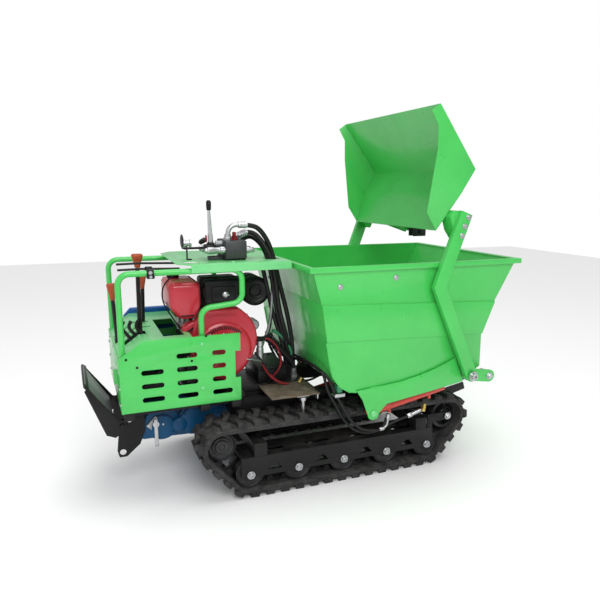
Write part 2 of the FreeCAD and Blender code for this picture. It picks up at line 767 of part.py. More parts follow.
def throttle():
    hub = "deck_top + 71"
    disc = round_x("throttle_disc", ("-674", "-666"), "-100", hub, "30")
    barrel = round_x("throttle_barrel", ("-666", "-630"), "-100", hub, "17")
    foot = box("throttle_foot", ("-640", "-615"), ("-130", "-70"), ("deck_top", "deck_top + 69"))
    return join("throttle", [disc, barrel, foot])


def shift_levers():
    levers = []
    hood = size("panel_top")
    low = hood - 139
    for index, (x, y, top_x, rise) in enumerate(((-873, -111, -866, 271), (-838, 85, -828, 161),
                                                 (-915, -133, -905, 61), (-955, -24, -985, 141))):
        top_z = hood + rise
        route = [(x, y, low), (top_x, y, top_z)]
        stalk = solid(f"lever_{index}", bent(route, 7, 60))
        long = 60 if index != 2 else 24
        grip = solid(f"lever_grip_{index}", Part.makeCone(11, 16, long, Vector(top_x, y, top_z - 4)))
        levers.append(join(f"lever_whole_{index}", [stalk, grip]))
    return group("shift_levers", levers)


def battery_tray():
    tray = box("tray_plate", ("-344", "-110"), ("-352", "-150"), ("base_top - 4", "base_top + 2"))
    hole = box("tray_slot", ("-262", "-222"), ("-300", "-288"), ("base_top - 20", "base_top + 20"))
    arm = box("tray_arm", ("-300", "-160"), ("-rail_out", "-rail_in"), ("rail_top", "base_top - 4"))
    return join("battery_tray", [cut("tray_sheet", tray, [hole]), arm])


def battery():
    return box("battery", ("-340", "-190"), ("-130", "110"), ("base_top + 4", "base_top + 90"))


def battery_stand():
    return box("battery_stand", ("-436", "-125"), ("-137", "137"), ("rail_top", "base_top + 4"))


# ---------------------------------------------------------------- hopper
def hopper():
    half = size("hopper_half")
    gauge = size("sheet_gauge")
    rim = size("rim_z")
    floor = size("floor_z")
    low = size("rim_low")

    def level(share):
        """Height of a fold, as its share of the way from the floor to the rim."""
        return floor + share * (rim - floor)

    hinge = size("hinge_z")
    eye = size("tip_eye_z")
    outline = [(-192, rim), (-187, level(0.969)), (-146, level(0.716)), (-122, level(0.432)),
               (-105, level(0.253)), (-89, level(0.1463)), (-55, level(0.0654)), (-5, floor + 6),
               (26, floor), (600, floor), (703, level(0.0964)), (701, level(0.4079)), (766, level(0.6472)),
               (869, low), (876, rim)]
    outer = profile(outline, -half, half)
    face = Part.Face(Part.makePolygon([Vector(x, 0, z) for x, z in outline + outline[:1]]))
    inside = face.makeOffset2D(-gauge, 2)
    inside.translate(Vector(0, gauge - half, 0))
    hollow = inside.Faces[0].extrude(Vector(0, 2 * (half - gauge), 0))
    mouth = hollow.copy()
    mouth.translate(Vector(0, 0, 2 * gauge))
    shell = outer.cut(hollow).cut(mouth.common(Part.makeBox(2000, 2 * half, 3 * gauge,
                                                            Vector(-500, -half, rim - 2 * gauge))))
    rear = size("rim_rear")
    front = size("rim_front")
    wide = size("rim_half")
    lip = Part.makeBox(front - rear, 2 * wide, rim - low, Vector(rear, -wide, low))
    lip = lip.cut(Part.makeBox(front - rear - 2 * gauge, 2 * (wide - gauge), rim - gauge - low,
                               Vector(rear + gauge, gauge - wide, low)))
    lip = lip.cut(profile(outline[:1] + outline[-3:] + outline[1:3], -half + gauge, half - gauge))
    shell = shell.fuse(lip.cut(profile([(-188, rim + 1), (-180, low - 9), (861, low - 9), (872, rim + 1)],
                                       -half + gauge, half - gauge)))
    band = [(-146, level(0.716)), (766, level(0.6472)), (702, level(0.3804)), (-122, level(0.432))]
    proud = size("band_proud")
    for y in (-half - proud, half):
        shell = shell.fuse(profile(band, y, y + proud))
    for y in (-198, 186):
        ear = profile([(590, floor + 1), (602, floor + 1), (694, hinge + 100), (718, hinge + 12),
                       (714, hinge - 16), (690, hinge - 20), (640, floor - 12)], y, y + 12)
        bore = size("hinge_pin_rad") + size("pin_gap")
        pin = Part.makeCylinder(bore, 40, Vector(size("hinge_x"), y - 10, size("hinge_z")), Vector(0, 1, 0))
        shell = shell.fuse(ear.cut(pin))
    for y in (-32, 22):
        tab = profile([(470, floor + 2), (534, floor + 2), (524, eye - 18), (484, eye - 18)], y, y + 10)
        shell = shell.fuse(tab)
    return solid("hopper", shell.removeSplitter())


def cylinder_bracket():
    outline = [("26", 10), ("254", 29), ("361", 49), ("448", 73), ("553", 114), ("603", -10), ("436", -36),
               ("183", -71), ("146", -107), ("136", -133), ("114", -141), ("92", -132), ("84", -111),
               ("57", -37.5)]
    outline = [(x, over("floor_z", rise)) for x, rise in outline]
    sheet_metal = plate("skirt_plate", outline, ("-hopper_half - 9", "-hopper_half - 3"))
    spacer = box("skirt_spacer", ("100", "480"), ("-hopper_half - 3", "-hopper_half"),
                 ("floor_z + 6", "floor_z + 20"))
    pin = round_y("ram_pin", "ram_x", "ram_z", "hinge_pin_rad", ("-hopper_half - 12", "-ram_y + 18"))
    return join("cylinder_bracket", [sheet_metal, spacer, pin])


def arm_pivot():
    boss = round_y("arm_boss", "arm_x", "arm_z", "26", ("-arm_in + 4", "-hopper_half"))
    pin = round_y("arm_pin", "arm_x", "arm_z", "arm_pin_rad", ("-arm_out - 8", "-arm_in + 5"))
    return join("arm_pivot", [boss, pin])


# ---------------------------------------------------------------- lift arms, shovel and cylinders
def strip(points, wide):
    """Outline of a flat bar along a line of points, mitred at its bends."""
    left, right = [], []
    for index, (x, z) in enumerate(points):
        ahead = points[min(index + 1, len(points) - 1)]
        behind = points[max(index - 1, 0)]
        first = Vector(x - behind[0], 0, z - behind[1]) if index else None
        second = Vector(ahead[0] - x, 0, ahead[1] - z) if index < len(points) - 1 else None
        runs = [run.normalize() for run in (first, second) if run]
        middle = (runs[0] + runs[-1]).normalize()
        grow = wide / 2 / max(0.3, middle.dot(runs[0]))
        side = Vector(-middle.z, 0, middle.x) * grow
        left.append((x + side.x, z + side.z))
        right.append((x - side.x, z - side.z))
    return left + right[::-1]


def lift_arm():
    pivot = (size("arm_x"), size("arm_z"))
    elbow = (size("elbow_x"), size("elbow_z"))
    top = (size("arm_top_x"), size("arm_top_z"))
    low, high = -size("arm_out"), -size("arm_in")
    shape = profile(strip([pivot, elbow, top], size("arm_wide")), low, high)
    shape = shape.fuse(Part.makeCylinder(size("arm_wide") / 2, high - low,
                                         Vector(pivot[0], low, pivot[1]), Vector(0, 1, 0)))
    lever = (size("lever_x"), size("lever_z"))
    inner = -size("lever_out")
    shape = shape.fuse(profile(strip([pivot, lever], 2 * size("lever_rad")), inner, high))
    shape = shape.fuse(Part.makeCylinder(size("lever_rad"), high - inner,
                                         Vector(lever[0], inner, lever[1]), Vector(0, 1, 0)))
    bore = size("arm_pin_rad") + size("pin_gap")
    pin = Part.makeCylinder(bore, 60, Vector(pivot[0], low - 10, pivot[1]), Vector(0, 1, 0))
    return solid("lift_arm", shape.cut(pin).removeSplitter())


def shovel():
    wide = size("shovel_half")
    heel = size("shovel_heel_half")
    gauge = size("sheet_gauge")
    arm_x, arm_z = size("arm_top_x"), size("arm_top_z")

    def off(*corners):
        """Corners counted from the top of the lift arm."""
        return [(arm_x + x, arm_z + z) for x, z in corners]

    tip, upper, notch, fold = off((-154, 463), (-196, 434), (-159.5, 373), (-158, 268))
    lower, foot, bend, vertex = off((-159, 0.5), (-105, -83), (-23, 85), (47, 193))
    shell = profile([tip, vertex, (vertex[0] - 5, vertex[1] - 1), (tip[0] - 5, tip[1] - 1)], -wide, wide)
    shell = shell.fuse(profile([vertex, bend, (bend[0] - 4, bend[1] + 2), (vertex[0] - 5, vertex[1] + 2)],
                               -wide, wide))
    for side in (-1, 1):
        inner, outer = sorted((side * wide, side * (wide - gauge)))
        shell = shell.fuse(profile([tip, upper, notch, fold, bend, vertex], inner, outer))
    corners = [Vector(bend[0], -wide, bend[1]), Vector(foot[0], -heel, foot[1]),
               Vector(foot[0], heel, foot[1]), Vector(bend[0], wide, bend[1])]
    shell = shell.fuse(slab(corners, Vector(-gauge, 0, gauge / 2)))
    for side in (-1, 1):
        a = Vector(fold[0], side * wide, fold[1])
        b = Vector(bend[0], side * wide, bend[1])
        c = Vector(foot[0], side * heel, foot[1])
        normal = (b - a).cross(c - a).normalize()
        y = a.y - (normal.x * (lower[0] - a.x) + normal.z * (lower[1] - a.z)) / normal.y
        shell = shell.fuse(slab([a, b, c, Vector(lower[0], y, lower[1])], Vector(0, -side * gauge, 0)))
        inner, outer = sorted((side * (heel - 14), side * size("arm_in")))
        bracket = profile(off((-72, -16), (-50, -82), (-22, -120), (28, -8), (-2, 8), (-56, 10)),
                          inner, outer)
        shell = shell.fuse(bracket)
    for y in (-60, 40):
        shell = shell.fuse(profile(off((-104, -82), (-72, -18), (18, -102), (6, -120)), y, y + 20))
    return solid("shovel", shell.removeSplitter())


def along(start, angle, first, last, radius, y):
    """Cylinder on a line that leaves a point at an angle in X and Z."""
    aim = Vector(math.cos(angle), 0, math.sin(angle))
    return Part.makeCylinder(radius, last - first, Vector(start[0], y, start[1]) + aim * first, aim)


def ram(name, start, stop, y, barrel_rad, bore, rod_rad, barrel, rod_back, eye_rad, eye_half, ports):
    """Barrel and rod of a hydraulic cylinder, as two pieces."""
    angle = math.atan2(stop[1] - start[1], stop[0] - start[0])
    reach = math.hypot(stop[0] - start[0], stop[1] - start[1])
    tube = along(start, angle, eye_rad - 4, barrel, barrel_rad, y)
    tube = tube.fuse(Part.makeCylinder(eye_rad, 2 * eye_half, Vector(start[0], y - eye_half, start[1]),
                                       Vector(0, 1, 0)))
    for spot in ports:
        aim = Vector(math.cos(angle), 0, math.sin(angle))
        base = Vector(start[0], y, start[1]) + aim * spot
        down = Vector(math.sin(angle), 0, -math.cos(angle))
        tube = tube.fuse(Part.makeCylinder(9, barrel_rad + 14, base, down))
    tube = tube.cut(along(start, angle, eye_rad + 12, barrel - 14, bore, y))
    tube = tube.cut(along(start, angle, barrel - 20, barrel + 5, rod_rad + size("pin_gap"), y))
    pin_bore = size("hinge_pin_rad") + size("pin_gap")
    tube = tube.cut(Part.makeCylinder(pin_bore, 80, Vector(start[0], y - 40, start[1]), Vector(0, 1, 0)))
    rod = along(start, angle, reach - rod_back, reach - eye_rad + 4, rod_rad, y)
    rod = rod.fuse(Part.makeCylinder(eye_rad, 2 * eye_half, Vector(stop[0], y - eye_half, stop[1]),
                                     Vector(0, 1, 0)))
    return tube, rod


def lift_rams():
    start = (size("ram_x"), size("ram_z"))
    stop = (size("lever_x"), size("lever_z"))
    y = -size("ram_y")
    tube, rod = ram("lift", start, stop, y, size("ram_rad"), size("ram_bore"), size("ram_rod_rad"),
                    size("ram_barrel"), size("ram_rod_back"), size("ram_eye_rad"),
                    size("ram_eye_half"), (96, 318))
    reach = size("arm_in") - 2 - size("ram_y")
    pin = Part.makeCylinder(size("ram_rod_rad"), reach, Vector(stop[0], y - reach, stop[1]),
                            Vector(0, 1, 0))
    return solid("lift_barrel", tube), solid("lift_rod", rod.fuse(pin).removeSplitter())


def tip_ram():
    start = (size("tip_x"), size("tip_z"))
    stop = (size("tip_eye_x"), size("tip_eye_z"))
    tube, rod = ram("tip", start, stop, 0, size("tip_rad"), size("tip_bore"), size("tip_rod_rad"),
                    size("tip_barrel"), size("tip_rod_back"), 24, size("tip_eye_half"), (96, 420))
    return solid("tip_barrel", tube), solid("tip_rod", rod)


def hose(points, radius):
    """Hose bent as widely as its straight runs allow."""
    longest = 1000
    return bent(points, radius, longest)


def valve_hoses():
    deck = size("deck_top")
    base = size("base_top")
    first = hose([(-446, -150, deck + 105), (-446, -150, deck + 153), (-330, -146, deck + 143),
                  (-262, -135, deck + 7), (-228, -120, deck - 113), (-180, -108, base + 326),
                  (-152, -105, base + 166), (-150, -105, base + 5)], 9)
    second = hose([(-446, -80, deck + 105), (-446, -80, deck + 147), (-340, -110, deck + 133),
                   (-286, -160, deck + 7), (-262, -150, deck - 113), (-236, -140, base + 366),
                   (-190, -125, base + 216), (-158, -60, base + 106), (-158, -60, base + 5)], 9)
    return solid("valve_hoses", Part.makeCompound([first, second]))


def lift_hoses():
    """Two hoses of a lift cylinder, hung under the hopper's edge."""
    half = size("hopper_half")
    floor = size("floor_z")
    rear = [(-100, 12, 71), (-84, 12, 23), (-40, 12, -51), (0, 12, -127), (60, 12, -187), (130, 12, -203),
            (185, 14, -201), (198, 20, -151)]
    front = [(-118, 30, 79), (-104, 30, 17), (-58, 30, -61), (-18, 32, -141), (50, 32, -205),
             (140, 32, -223), (215, 32, -193), (300, 28, -165), (395, 22, -151)]
    runs = [hose([(x, inset - half, floor + rise) for x, inset, rise in route], 6.5)
            for route in (rear, front)]
    return solid("lift_hoses", Part.makeCompound(runs))


both("rubber_track", rubber_track())
both("track_rollers", track_rollers())
both("track_frame", track_frame())
both("drive_sprocket", drive_sprocket())
both("idler", idler())
both("side_panel", side_panel())
both("frame_tube", frame_tube())
both("cylinder_bracket", cylinder_bracket())
both("arm_pivot", arm_pivot())
both("lift_arm", lift_arm())
barrel_piece, rod_piece = lift_rams()
both("lift_barrel", barrel_piece)
both("lift_rod", rod_piece)
both("lift_hoses", lift_hoses())
for maker in (drive_axle, crossbeams, chassis_frame, hopper_rests, gearbox, gear_flange, step_bracket,
              foot_step, rear_panel, console_cover, control_deck, engine_block, engine_head,
              engine_shroud, fuel_tank, air_cleaner, muffler, starter_motor, belt_guard, control_valve,
              valve_hoses, valve_lever, throttle, shift_levers, battery_tray, battery, battery_stand,
              hopper, shovel):
    keep(maker(), maker.__name__)
tip_tube, tip_bar = tip_ram()
keep(tip_tube, "tip_barrel")
keep(tip_bar, "tip_rod")

doc.recompute()
for thing in doc.Objects:
    if "Invalid" in thing.State or "Error" in thing.State:
        raise RuntimeError(f"{thing.Label} did not build: {thing.State}")
for node in NODES:
    if node.Shape.isNull() or not node.Shape.isValid() or not node.Shape.Solids:
        raise RuntimeError(f"{node.Label} has no valid solid")
    node.Shape.exportStep(f"parts/{node.Label}.step")
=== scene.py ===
"""Looks of the self loading mini dumper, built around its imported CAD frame, in metres."""
import json
import math

import bmesh
import bpy
from mathutils import Matrix, Vector, noise

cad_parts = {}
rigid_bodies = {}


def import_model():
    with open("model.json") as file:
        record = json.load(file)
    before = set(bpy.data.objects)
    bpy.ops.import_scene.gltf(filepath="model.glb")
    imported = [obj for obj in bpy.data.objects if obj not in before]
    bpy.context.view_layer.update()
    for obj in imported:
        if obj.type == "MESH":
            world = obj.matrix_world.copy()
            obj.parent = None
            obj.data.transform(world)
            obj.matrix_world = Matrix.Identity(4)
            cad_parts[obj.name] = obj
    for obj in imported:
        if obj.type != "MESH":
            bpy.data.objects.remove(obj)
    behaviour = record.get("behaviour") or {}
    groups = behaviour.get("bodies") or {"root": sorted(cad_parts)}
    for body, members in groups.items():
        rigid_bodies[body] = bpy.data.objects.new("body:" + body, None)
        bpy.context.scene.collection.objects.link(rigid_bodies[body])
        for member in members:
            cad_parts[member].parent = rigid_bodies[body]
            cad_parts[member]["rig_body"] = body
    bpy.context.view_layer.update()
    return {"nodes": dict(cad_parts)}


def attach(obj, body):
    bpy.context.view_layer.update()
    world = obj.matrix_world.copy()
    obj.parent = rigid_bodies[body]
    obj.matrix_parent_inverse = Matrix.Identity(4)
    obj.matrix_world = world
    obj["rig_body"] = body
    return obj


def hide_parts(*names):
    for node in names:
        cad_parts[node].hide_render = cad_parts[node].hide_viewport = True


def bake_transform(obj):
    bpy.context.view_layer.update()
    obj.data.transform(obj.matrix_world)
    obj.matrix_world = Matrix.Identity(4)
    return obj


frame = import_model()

# Places along X are given from the middle roller, as in the part's source.
MID_X = 0.110
BODY = {name: node["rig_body"] for name, node in frame["nodes"].items()}
SIDES = (("R", -1), ("L", 1))


def at(x, y, z):
    """Point in the frame, from a place counted from the middle roller."""
    return Vector((x + MID_X, y, z))


# ------------------------------------------------------------------ materials
class Recipe:
    """Node tree of one material, with the few helpers that the finishes share."""

    def __init__(self, name):
        self.material = bpy.data.materials.new(name)
        self.material.use_nodes = True
        self.tree = self.material.node_tree
        self.shader = self.tree.nodes["Principled BSDF"]
        self.place = self.tree.nodes.new("ShaderNodeTexCoord").outputs["Object"]

    def link(self, source, target):
        self.tree.links.new(source, target)

    def cloud(self, scale, detail=4.0, stretch=(1, 1, 1), roughness=0.6):
        """Soft noise over the object's own coordinates."""
        mapping = self.tree.nodes.new("ShaderNodeMapping")
        mapping.inputs["Scale"].default_value = stretch
        self.link(self.place, mapping.inputs["Vector"])
        texture = self.tree.nodes.new("ShaderNodeTexNoise")
        texture.inputs["Scale"].default_value = scale
        texture.inputs["Detail"].default_value = detail
        texture.inputs["Roughness"].default_value = roughness
        self.link(mapping.outputs["Vector"], texture.inputs["Vector"])
        return texture.outputs["Fac"]

    def ramp(self, source, low, high, start=0.0, stop=1.0):
        """Map a range of the source to another range, held at its ends."""
        scale = self.tree.nodes.new("ShaderNodeMapRange")
        scale.inputs["From Min"].default_value = low
        scale.inputs["From Max"].default_value = high
        scale.inputs["To Min"].default_value = start
        scale.inputs["To Max"].default_value = stop
        self.link(source, scale.inputs["Value"])
        return scale.outputs["Result"]

    def times(self, first, second):
        node = self.tree.nodes.new("ShaderNodeMath")
        node.operation = "MULTIPLY"
        self.link(first, node.inputs[0])
        self.link(second, node.inputs[1])
        return node.outputs[0]

    def blend(self, factor, first, second):
        """Colour between two, each a tuple or a socket."""
        node = self.tree.nodes.new("ShaderNodeMix")
        node.data_type = "RGBA"
        self.link(factor, node.inputs["Factor"])
        for value, socket in ((first, node.inputs[6]), (second, node.inputs[7])):
            if isinstance(value, tuple):
                socket.default_value = (*value, 1)
            else:
                self.link(value, socket)
        return node.outputs[2]

    def upward(self):
        """How much a surface faces the sky, from 0 to 1."""
        normal = self.tree.nodes.new("ShaderNodeNewGeometry").outputs["Normal"]
        split = self.tree.nodes.new("ShaderNodeSeparateXYZ")
        self.link(normal, split.inputs[0])
        return self.ramp(split.outputs["Z"], 0.35, 0.95)

    def bump(self, source, strength, distance):
        node = self.tree.nodes.new("ShaderNodeBump")
        node.inputs["Strength"].default_value = strength
        node.inputs["Distance"].default_value = distance
        self.link(source, node.inputs["Height"])
        self.link(node.outputs["Normal"], self.shader.inputs["Normal"])


def coated(name, colour, shade, rough, dust=0.25, peel=0.12, coat=0.35, specular=0.5):
    """Sprayed paint: cloudy colour, orange peel, and dust where it faces up."""
    mix = Recipe(name)
    tone = mix.ramp(mix.cloud(5.0, 3.0), 0.35, 0.7)
    colours = mix.blend(tone, colour, shade)
    specks = mix.ramp(mix.cloud(160.0, 2.0), 0.70, 0.80)
    flecked = mix.blend(specks, colours, tuple(0.45 * part for part in shade))
    settled = mix.times(mix.upward(), mix.ramp(mix.cloud(18.0, 6.0), 0.42, 0.78, 0.0, dust))
    dusty = mix.blend(settled, flecked, (0.36, 0.35, 0.30))
    mix.link(dusty, mix.shader.inputs["Base Color"])
    smears = mix.ramp(mix.cloud(9.0, 5.0), 0.3, 0.75, rough * 0.75, rough * 1.35)
    mix.link(smears, mix.shader.inputs["Roughness"])
    mix.shader.inputs["Coat Weight"].default_value = coat
    mix.shader.inputs["Coat Roughness"].default_value = 0.12
    mix.shader.inputs["Specular IOR Level"].default_value = specular
    mix.bump(mix.cloud(240.0, 2.0), peel, 0.0006)
    return mix.material


def bare_metal(name, colour, shade, rough, grain=(1, 1, 1), scale=60.0, spots=0.5):
    """Plated or machined metal with fine grain and dull spots."""
    mix = Recipe(name)
    stains = mix.ramp(mix.cloud(40.0, 6.0), 0.45, 0.75, 0.0, spots)
    mix.link(mix.blend(stains, colour, shade), mix.shader.inputs["Base Color"])
    mix.shader.inputs["Metallic"].default_value = 0.92
    mix.link(mix.ramp(mix.cloud(scale, 6.0, grain), 0.3, 0.8, rough * 0.7, rough * 1.5),
             mix.shader.inputs["Roughness"])
    mix.bump(mix.cloud(scale * 4, 4.0, grain), 0.15, 0.0004)
    return mix.material


def worn_rubber(name, colour, dust_colour, rough, grime=0.45):
    """Moulded rubber, greyed by dust in its open faces."""
    mix = Recipe(name)
    haze = mix.ramp(mix.cloud(14.0, 8.0), 0.35, 0.75, 0.0, grime)
    scuffs = mix.ramp(mix.cloud(70.0, 5.0), 0.5, 0.8, 0.0, grime * 0.7)
    grey = mix.blend(haze, colour, dust_colour)
    worn = mix.blend(scuffs, grey, dust_colour)
    settled = mix.times(mix.upward(), mix.ramp(mix.cloud(26.0, 6.0), 0.36, 0.70, 0.0, grime * 1.6))
    mix.link(mix.blend(settled, worn, dust_colour), mix.shader.inputs["Base Color"])
    mix.link(mix.ramp(mix.cloud(30.0, 4.0), 0.3, 0.7, rough - 0.12, rough + 0.12),
             mix.shader.inputs["Roughness"])
    mix.shader.inputs["Specular IOR Level"].default_value = 0.30
    mix.bump(mix.cloud(320.0, 3.0), 0.35, 0.0008)
    return mix.material


def cast_surface(name, colour, shade, rough, metallic=0.5):
    """Sand-cast iron or alloy with a pebbled skin."""
    mix = Recipe(name)
    patches = mix.ramp(mix.cloud(22.0, 6.0), 0.35, 0.75)
    mix.link(mix.blend(patches, colour, shade), mix.shader.inputs["Base Color"])
    mix.shader.inputs["Metallic"].default_value = metallic
    mix.link(mix.ramp(mix.cloud(50.0, 3.0), 0.3, 0.7, rough - 0.1, rough + 0.1),
             mix.shader.inputs["Roughness"])
    mix.bump(mix.cloud(420.0, 3.0), 0.4, 0.0009)
    return mix.material


def moulded(name, colour, shade, rough):
    """Moulded plastic with a faint grain."""
    mix = Recipe(name)
    mix.shader.inputs["Specular IOR Level"].default_value = 0.22
    tone = mix.ramp(mix.cloud(30.0, 5.0), 0.3, 0.75)
    mix.link(mix.blend(tone, colour, shade), mix.shader.inputs["Base Color"])
    mix.link(mix.ramp(mix.cloud(90.0, 3.0), 0.3, 0.7, rough - 0.08, rough + 0.1),
             mix.shader.inputs["Roughness"])
    mix.bump(mix.cloud(600.0, 2.0), 0.25, 0.0004)
    return mix.material


GREEN = coated("green_gloss_paint", (0.058, 0.545, 0.095), (0.048, 0.49, 0.082), 0.33, dust=0.08)
# Lighter copy of the green paint: painted sunlight on the tops of the deck and console, and painted highlight
# on green bolt heads.
GREEN_PAINTED_LIGHT = coated("green_paint_with_painted_sunlight", (0.17, 0.62, 0.23), (0.13, 0.57, 0.19), 0.36, dust=0.22)
BLACK = coated("black_frame_paint", (0.0075, 0.0075, 0.008), (0.013, 0.0125, 0.0125), 0.40, dust=0.09,
               coat=0.02, specular=0.22)
RED = coated("red_engine_paint", (0.53, 0.016, 0.036), (0.46, 0.013, 0.030), 0.34, dust=0.05)
RED_RAM = coated("red_cylinder_paint", (0.52, 0.03, 0.015), (0.42, 0.02, 0.012), 0.32, dust=0.10)
BLUE = coated("blue_gearbox_paint", (0.003, 0.075, 0.18), (0.002, 0.045, 0.125), 0.42, dust=0.03,
              coat=0.05, specular=0.25)
BLUE_GUARD = coated("blue_guard_paint", (0.0, 0.085, 0.34), (0.0, 0.07, 0.28), 0.36, dust=0.03, coat=0.1,
                    specular=0.25)
PRIMER = coated("brown_primer", (0.15, 0.105, 0.070), (0.09, 0.066, 0.048), 0.6, dust=0.45, coat=0.0)
TREAD_PAINT = coated("grey_tread_paint", (0.20, 0.20, 0.205), (0.13, 0.13, 0.135), 0.5, dust=0.35, coat=0.05)
RUBBER = worn_rubber("track_rubber", (0.011, 0.011, 0.012), (0.105, 0.10, 0.095), 0.70, grime=0.40)
HOSE = worn_rubber("hose_rubber", (0.007, 0.007, 0.0075), (0.035, 0.035, 0.035), 0.45, grime=0.15)
IRON = cast_surface("dark_cast_iron", (0.020, 0.020, 0.022), (0.045, 0.045, 0.047), 0.5)
ALLOY = cast_surface("grey_cast_alloy", (0.34, 0.35, 0.36), (0.24, 0.245, 0.25), 0.45, 0.8)
VALVE_GREY = cast_surface("valve_grey", (0.055, 0.057, 0.060), (0.040, 0.042, 0.045), 0.5, 0.3)
ZINC = bare_metal("zinc_plate", (0.50, 0.51, 0.52), (0.36, 0.37, 0.38), 0.34, spots=0.35)
BRASS = bare_metal("brass_fitting", (0.72, 0.52, 0.16), (0.45, 0.30, 0.09), 0.3)
CHROME = bare_metal("chromed_rod", (0.82, 0.83, 0.85), (0.70, 0.71, 0.73), 0.10, (1, 1, 1), 30.0, 0.2)
BLACK_PLASTIC = moulded("black_plastic", (0.006, 0.006, 0.007), (0.011, 0.011, 0.012), 0.36)
GRIP = moulded("orange_brown_grip", (0.42, 0.085, 0.035), (0.30, 0.055, 0.022), 0.5)
RED_WIRE = moulded("red_cable", (0.26, 0.018, 0.024), (0.18, 0.012, 0.018), 0.45)
GREEN_HOSE = moulded("green_coupling", (0.05, 0.25, 0.12), (0.03, 0.17, 0.08), 0.5)


# ------------------------------------------------------------------ mesh helpers
def settle(name, bm, material, body, replaces=(), smooth=38):
    """Turn a bmesh into a finished piece that rides on a body."""
    bmesh.ops.remove_doubles(bm, verts=bm.verts, dist=1e-6)
    mesh = bpy.data.meshes.new(name)
    bm.to_mesh(mesh)
    bm.free()
    mesh.shade_smooth()
    mesh.set_sharp_from_angle(angle=math.radians(smooth))
    piece = bpy.data.objects.new(name, mesh)
    bpy.context.scene.collection.objects.link(piece)
    for layer in material if isinstance(material, (list, tuple)) else [material]:
        mesh.materials.append(layer)
    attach(piece, body)
    for node in replaces:
        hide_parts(node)
    return piece


def evaluated(piece):
    """Replace a piece's mesh with the result of its modifiers."""
    graph = bpy.context.evaluated_depsgraph_get()
    mesh = bpy.data.meshes.new_from_object(piece.evaluated_get(graph))
    piece.modifiers.clear()
    piece.data = mesh
    return piece


def skinned(node, material, bevel=0.0015, segments=2, angle=34):
    """The CAD node again, with rounded edges and a better finish."""
    bm = bmesh.new()
    bm.from_mesh(frame["nodes"][node].data)
    bmesh.ops.remove_doubles(bm, verts=bm.verts, dist=1e-5)
    bmesh.ops.dissolve_limit(bm, angle_limit=math.radians(0.4), verts=bm.verts, edges=bm.edges)
    mesh = bpy.data.meshes.new(node + "_skin")
    bm.to_mesh(mesh)
    bm.free()
    mesh.materials.clear()
    mesh.materials.append(material)
    piece = bpy.data.objects.new(node + "_skin", mesh)
    bpy.context.scene.collection.objects.link(piece)
    edges = piece.modifiers.new("rounded_edges", "BEVEL")
    edges.width = bevel
    edges.segments = segments
    edges.limit_method = "ANGLE"
    edges.angle_limit = math.radians(angle)
    edges.use_clamp_overlap = True
    evaluated(piece)
    piece.data.shade_smooth()
    piece.data.set_sharp_from_angle(angle=math.radians(38))
    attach(piece, BODY[node])
    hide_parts(node)
    return piece


def turned(bm, profile, base, axis, sides=32, index=0):
    """Closed solid of revolution: profile is (radius, height) along the axis from base."""
    aim = Vector(axis).normalized()
    side = aim.orthogonal().normalized()
    other = aim.cross(side)
    rings = []
    for radius, height in profile:
        if radius <= 1e-7:
            rings.append([bm.verts.new(base + aim * height)])
            continue
        ring = []
        for step in range(sides):
            turn = 2 * math.pi * step / sides
            ring.append(bm.verts.new(base + aim * height
                                     + (side * math.cos(turn) + other * math.sin(turn)) * radius))
        rings.append(ring)
    for low, high in zip(rings, rings[1:]):
        for step in range(sides):
            following = (step + 1) % sides
            corners = []
            for ring, spot in ((low, step), (low, following), (high, following), (high, step)):
                corner = ring[spot % len(ring)]
                if corner not in corners:
                    corners.append(corner)
            if len(corners) > 2:
                bm.faces.new(corners).material_index = index
    for ring, flip in ((rings[0], True), (rings[-1], False)):
        if len(ring) > 2:
            bm.faces.new(ring[::-1] if flip else ring).material_index = index


def plug(bm, radius, long, base, aim, sides=32):
    """Plain round piece: a pin, a shaft, a washer or a nut."""
    turned(bm, [(0.0, 0.0), (radius, 0.0), (radius, long), (0.0, long)], base, aim, sides)


def rounded(points, steps=6):
    """Points of a smooth curve through the given ones."""
    spots = [Vector(point) for point in points]
    if len(spots) < 3:
        return spots
    spots = [2 * spots[0] - spots[1]] + spots + [2 * spots[-1] - spots[-2]]
    path = []
    for a, b, c, d in zip(spots, spots[1:], spots[2:], spots[3:]):
        for step in range(steps):
            t = step / steps
            path.append(0.5 * (2 * b + (c - a) * t + (2 * a - 5 * b + 4 * c - d) * t * t
                               + (3 * b - a - 3 * c + d) * t ** 3))
    return path + [spots[-2]]


def tube(bm, path, radius, sides=12, index=0, closed=False):
    """Round tube along a list of points; radius is a number or one for each point."""
    count = len(path)
    radii = radius if isinstance(radius, (list, tuple)) else [radius] * count
    tangents = []
    for spot in range(count):
        ahead = path[(spot + 1) % count] if closed else path[min(spot + 1, count - 1)]
        behind = path[(spot - 1) % count] if closed else path[max(spot - 1, 0)]
        tangents.append((ahead - behind).normalized())
    normal = tangents[0].orthogonal().normalized()
    rings = []
    for spot, tangent in enumerate(tangents):
        normal = (normal - tangent * normal.dot(tangent)).normalized()
        other = tangent.cross(normal)
        rings.append([bm.verts.new(path[spot] + (normal * math.cos(2 * math.pi * step / sides)
                                                 + other * math.sin(2 * math.pi * step / sides))
                                   * radii[spot]) for step in range(sides)])
    pairs = list(zip(rings, rings[1:])) + ([(rings[-1], rings[0])] if closed else [])
    for low, high in pairs:
        for step in range(sides):
            following = (step + 1) % sides
            face = bm.faces.new((low[step], low[following], high[following], high[step]))
            face.material_index = index
    if not closed:
        bm.faces.new(rings[0][::-1]).material_index = index
        bm.faces.new(rings[-1]).material_index = index


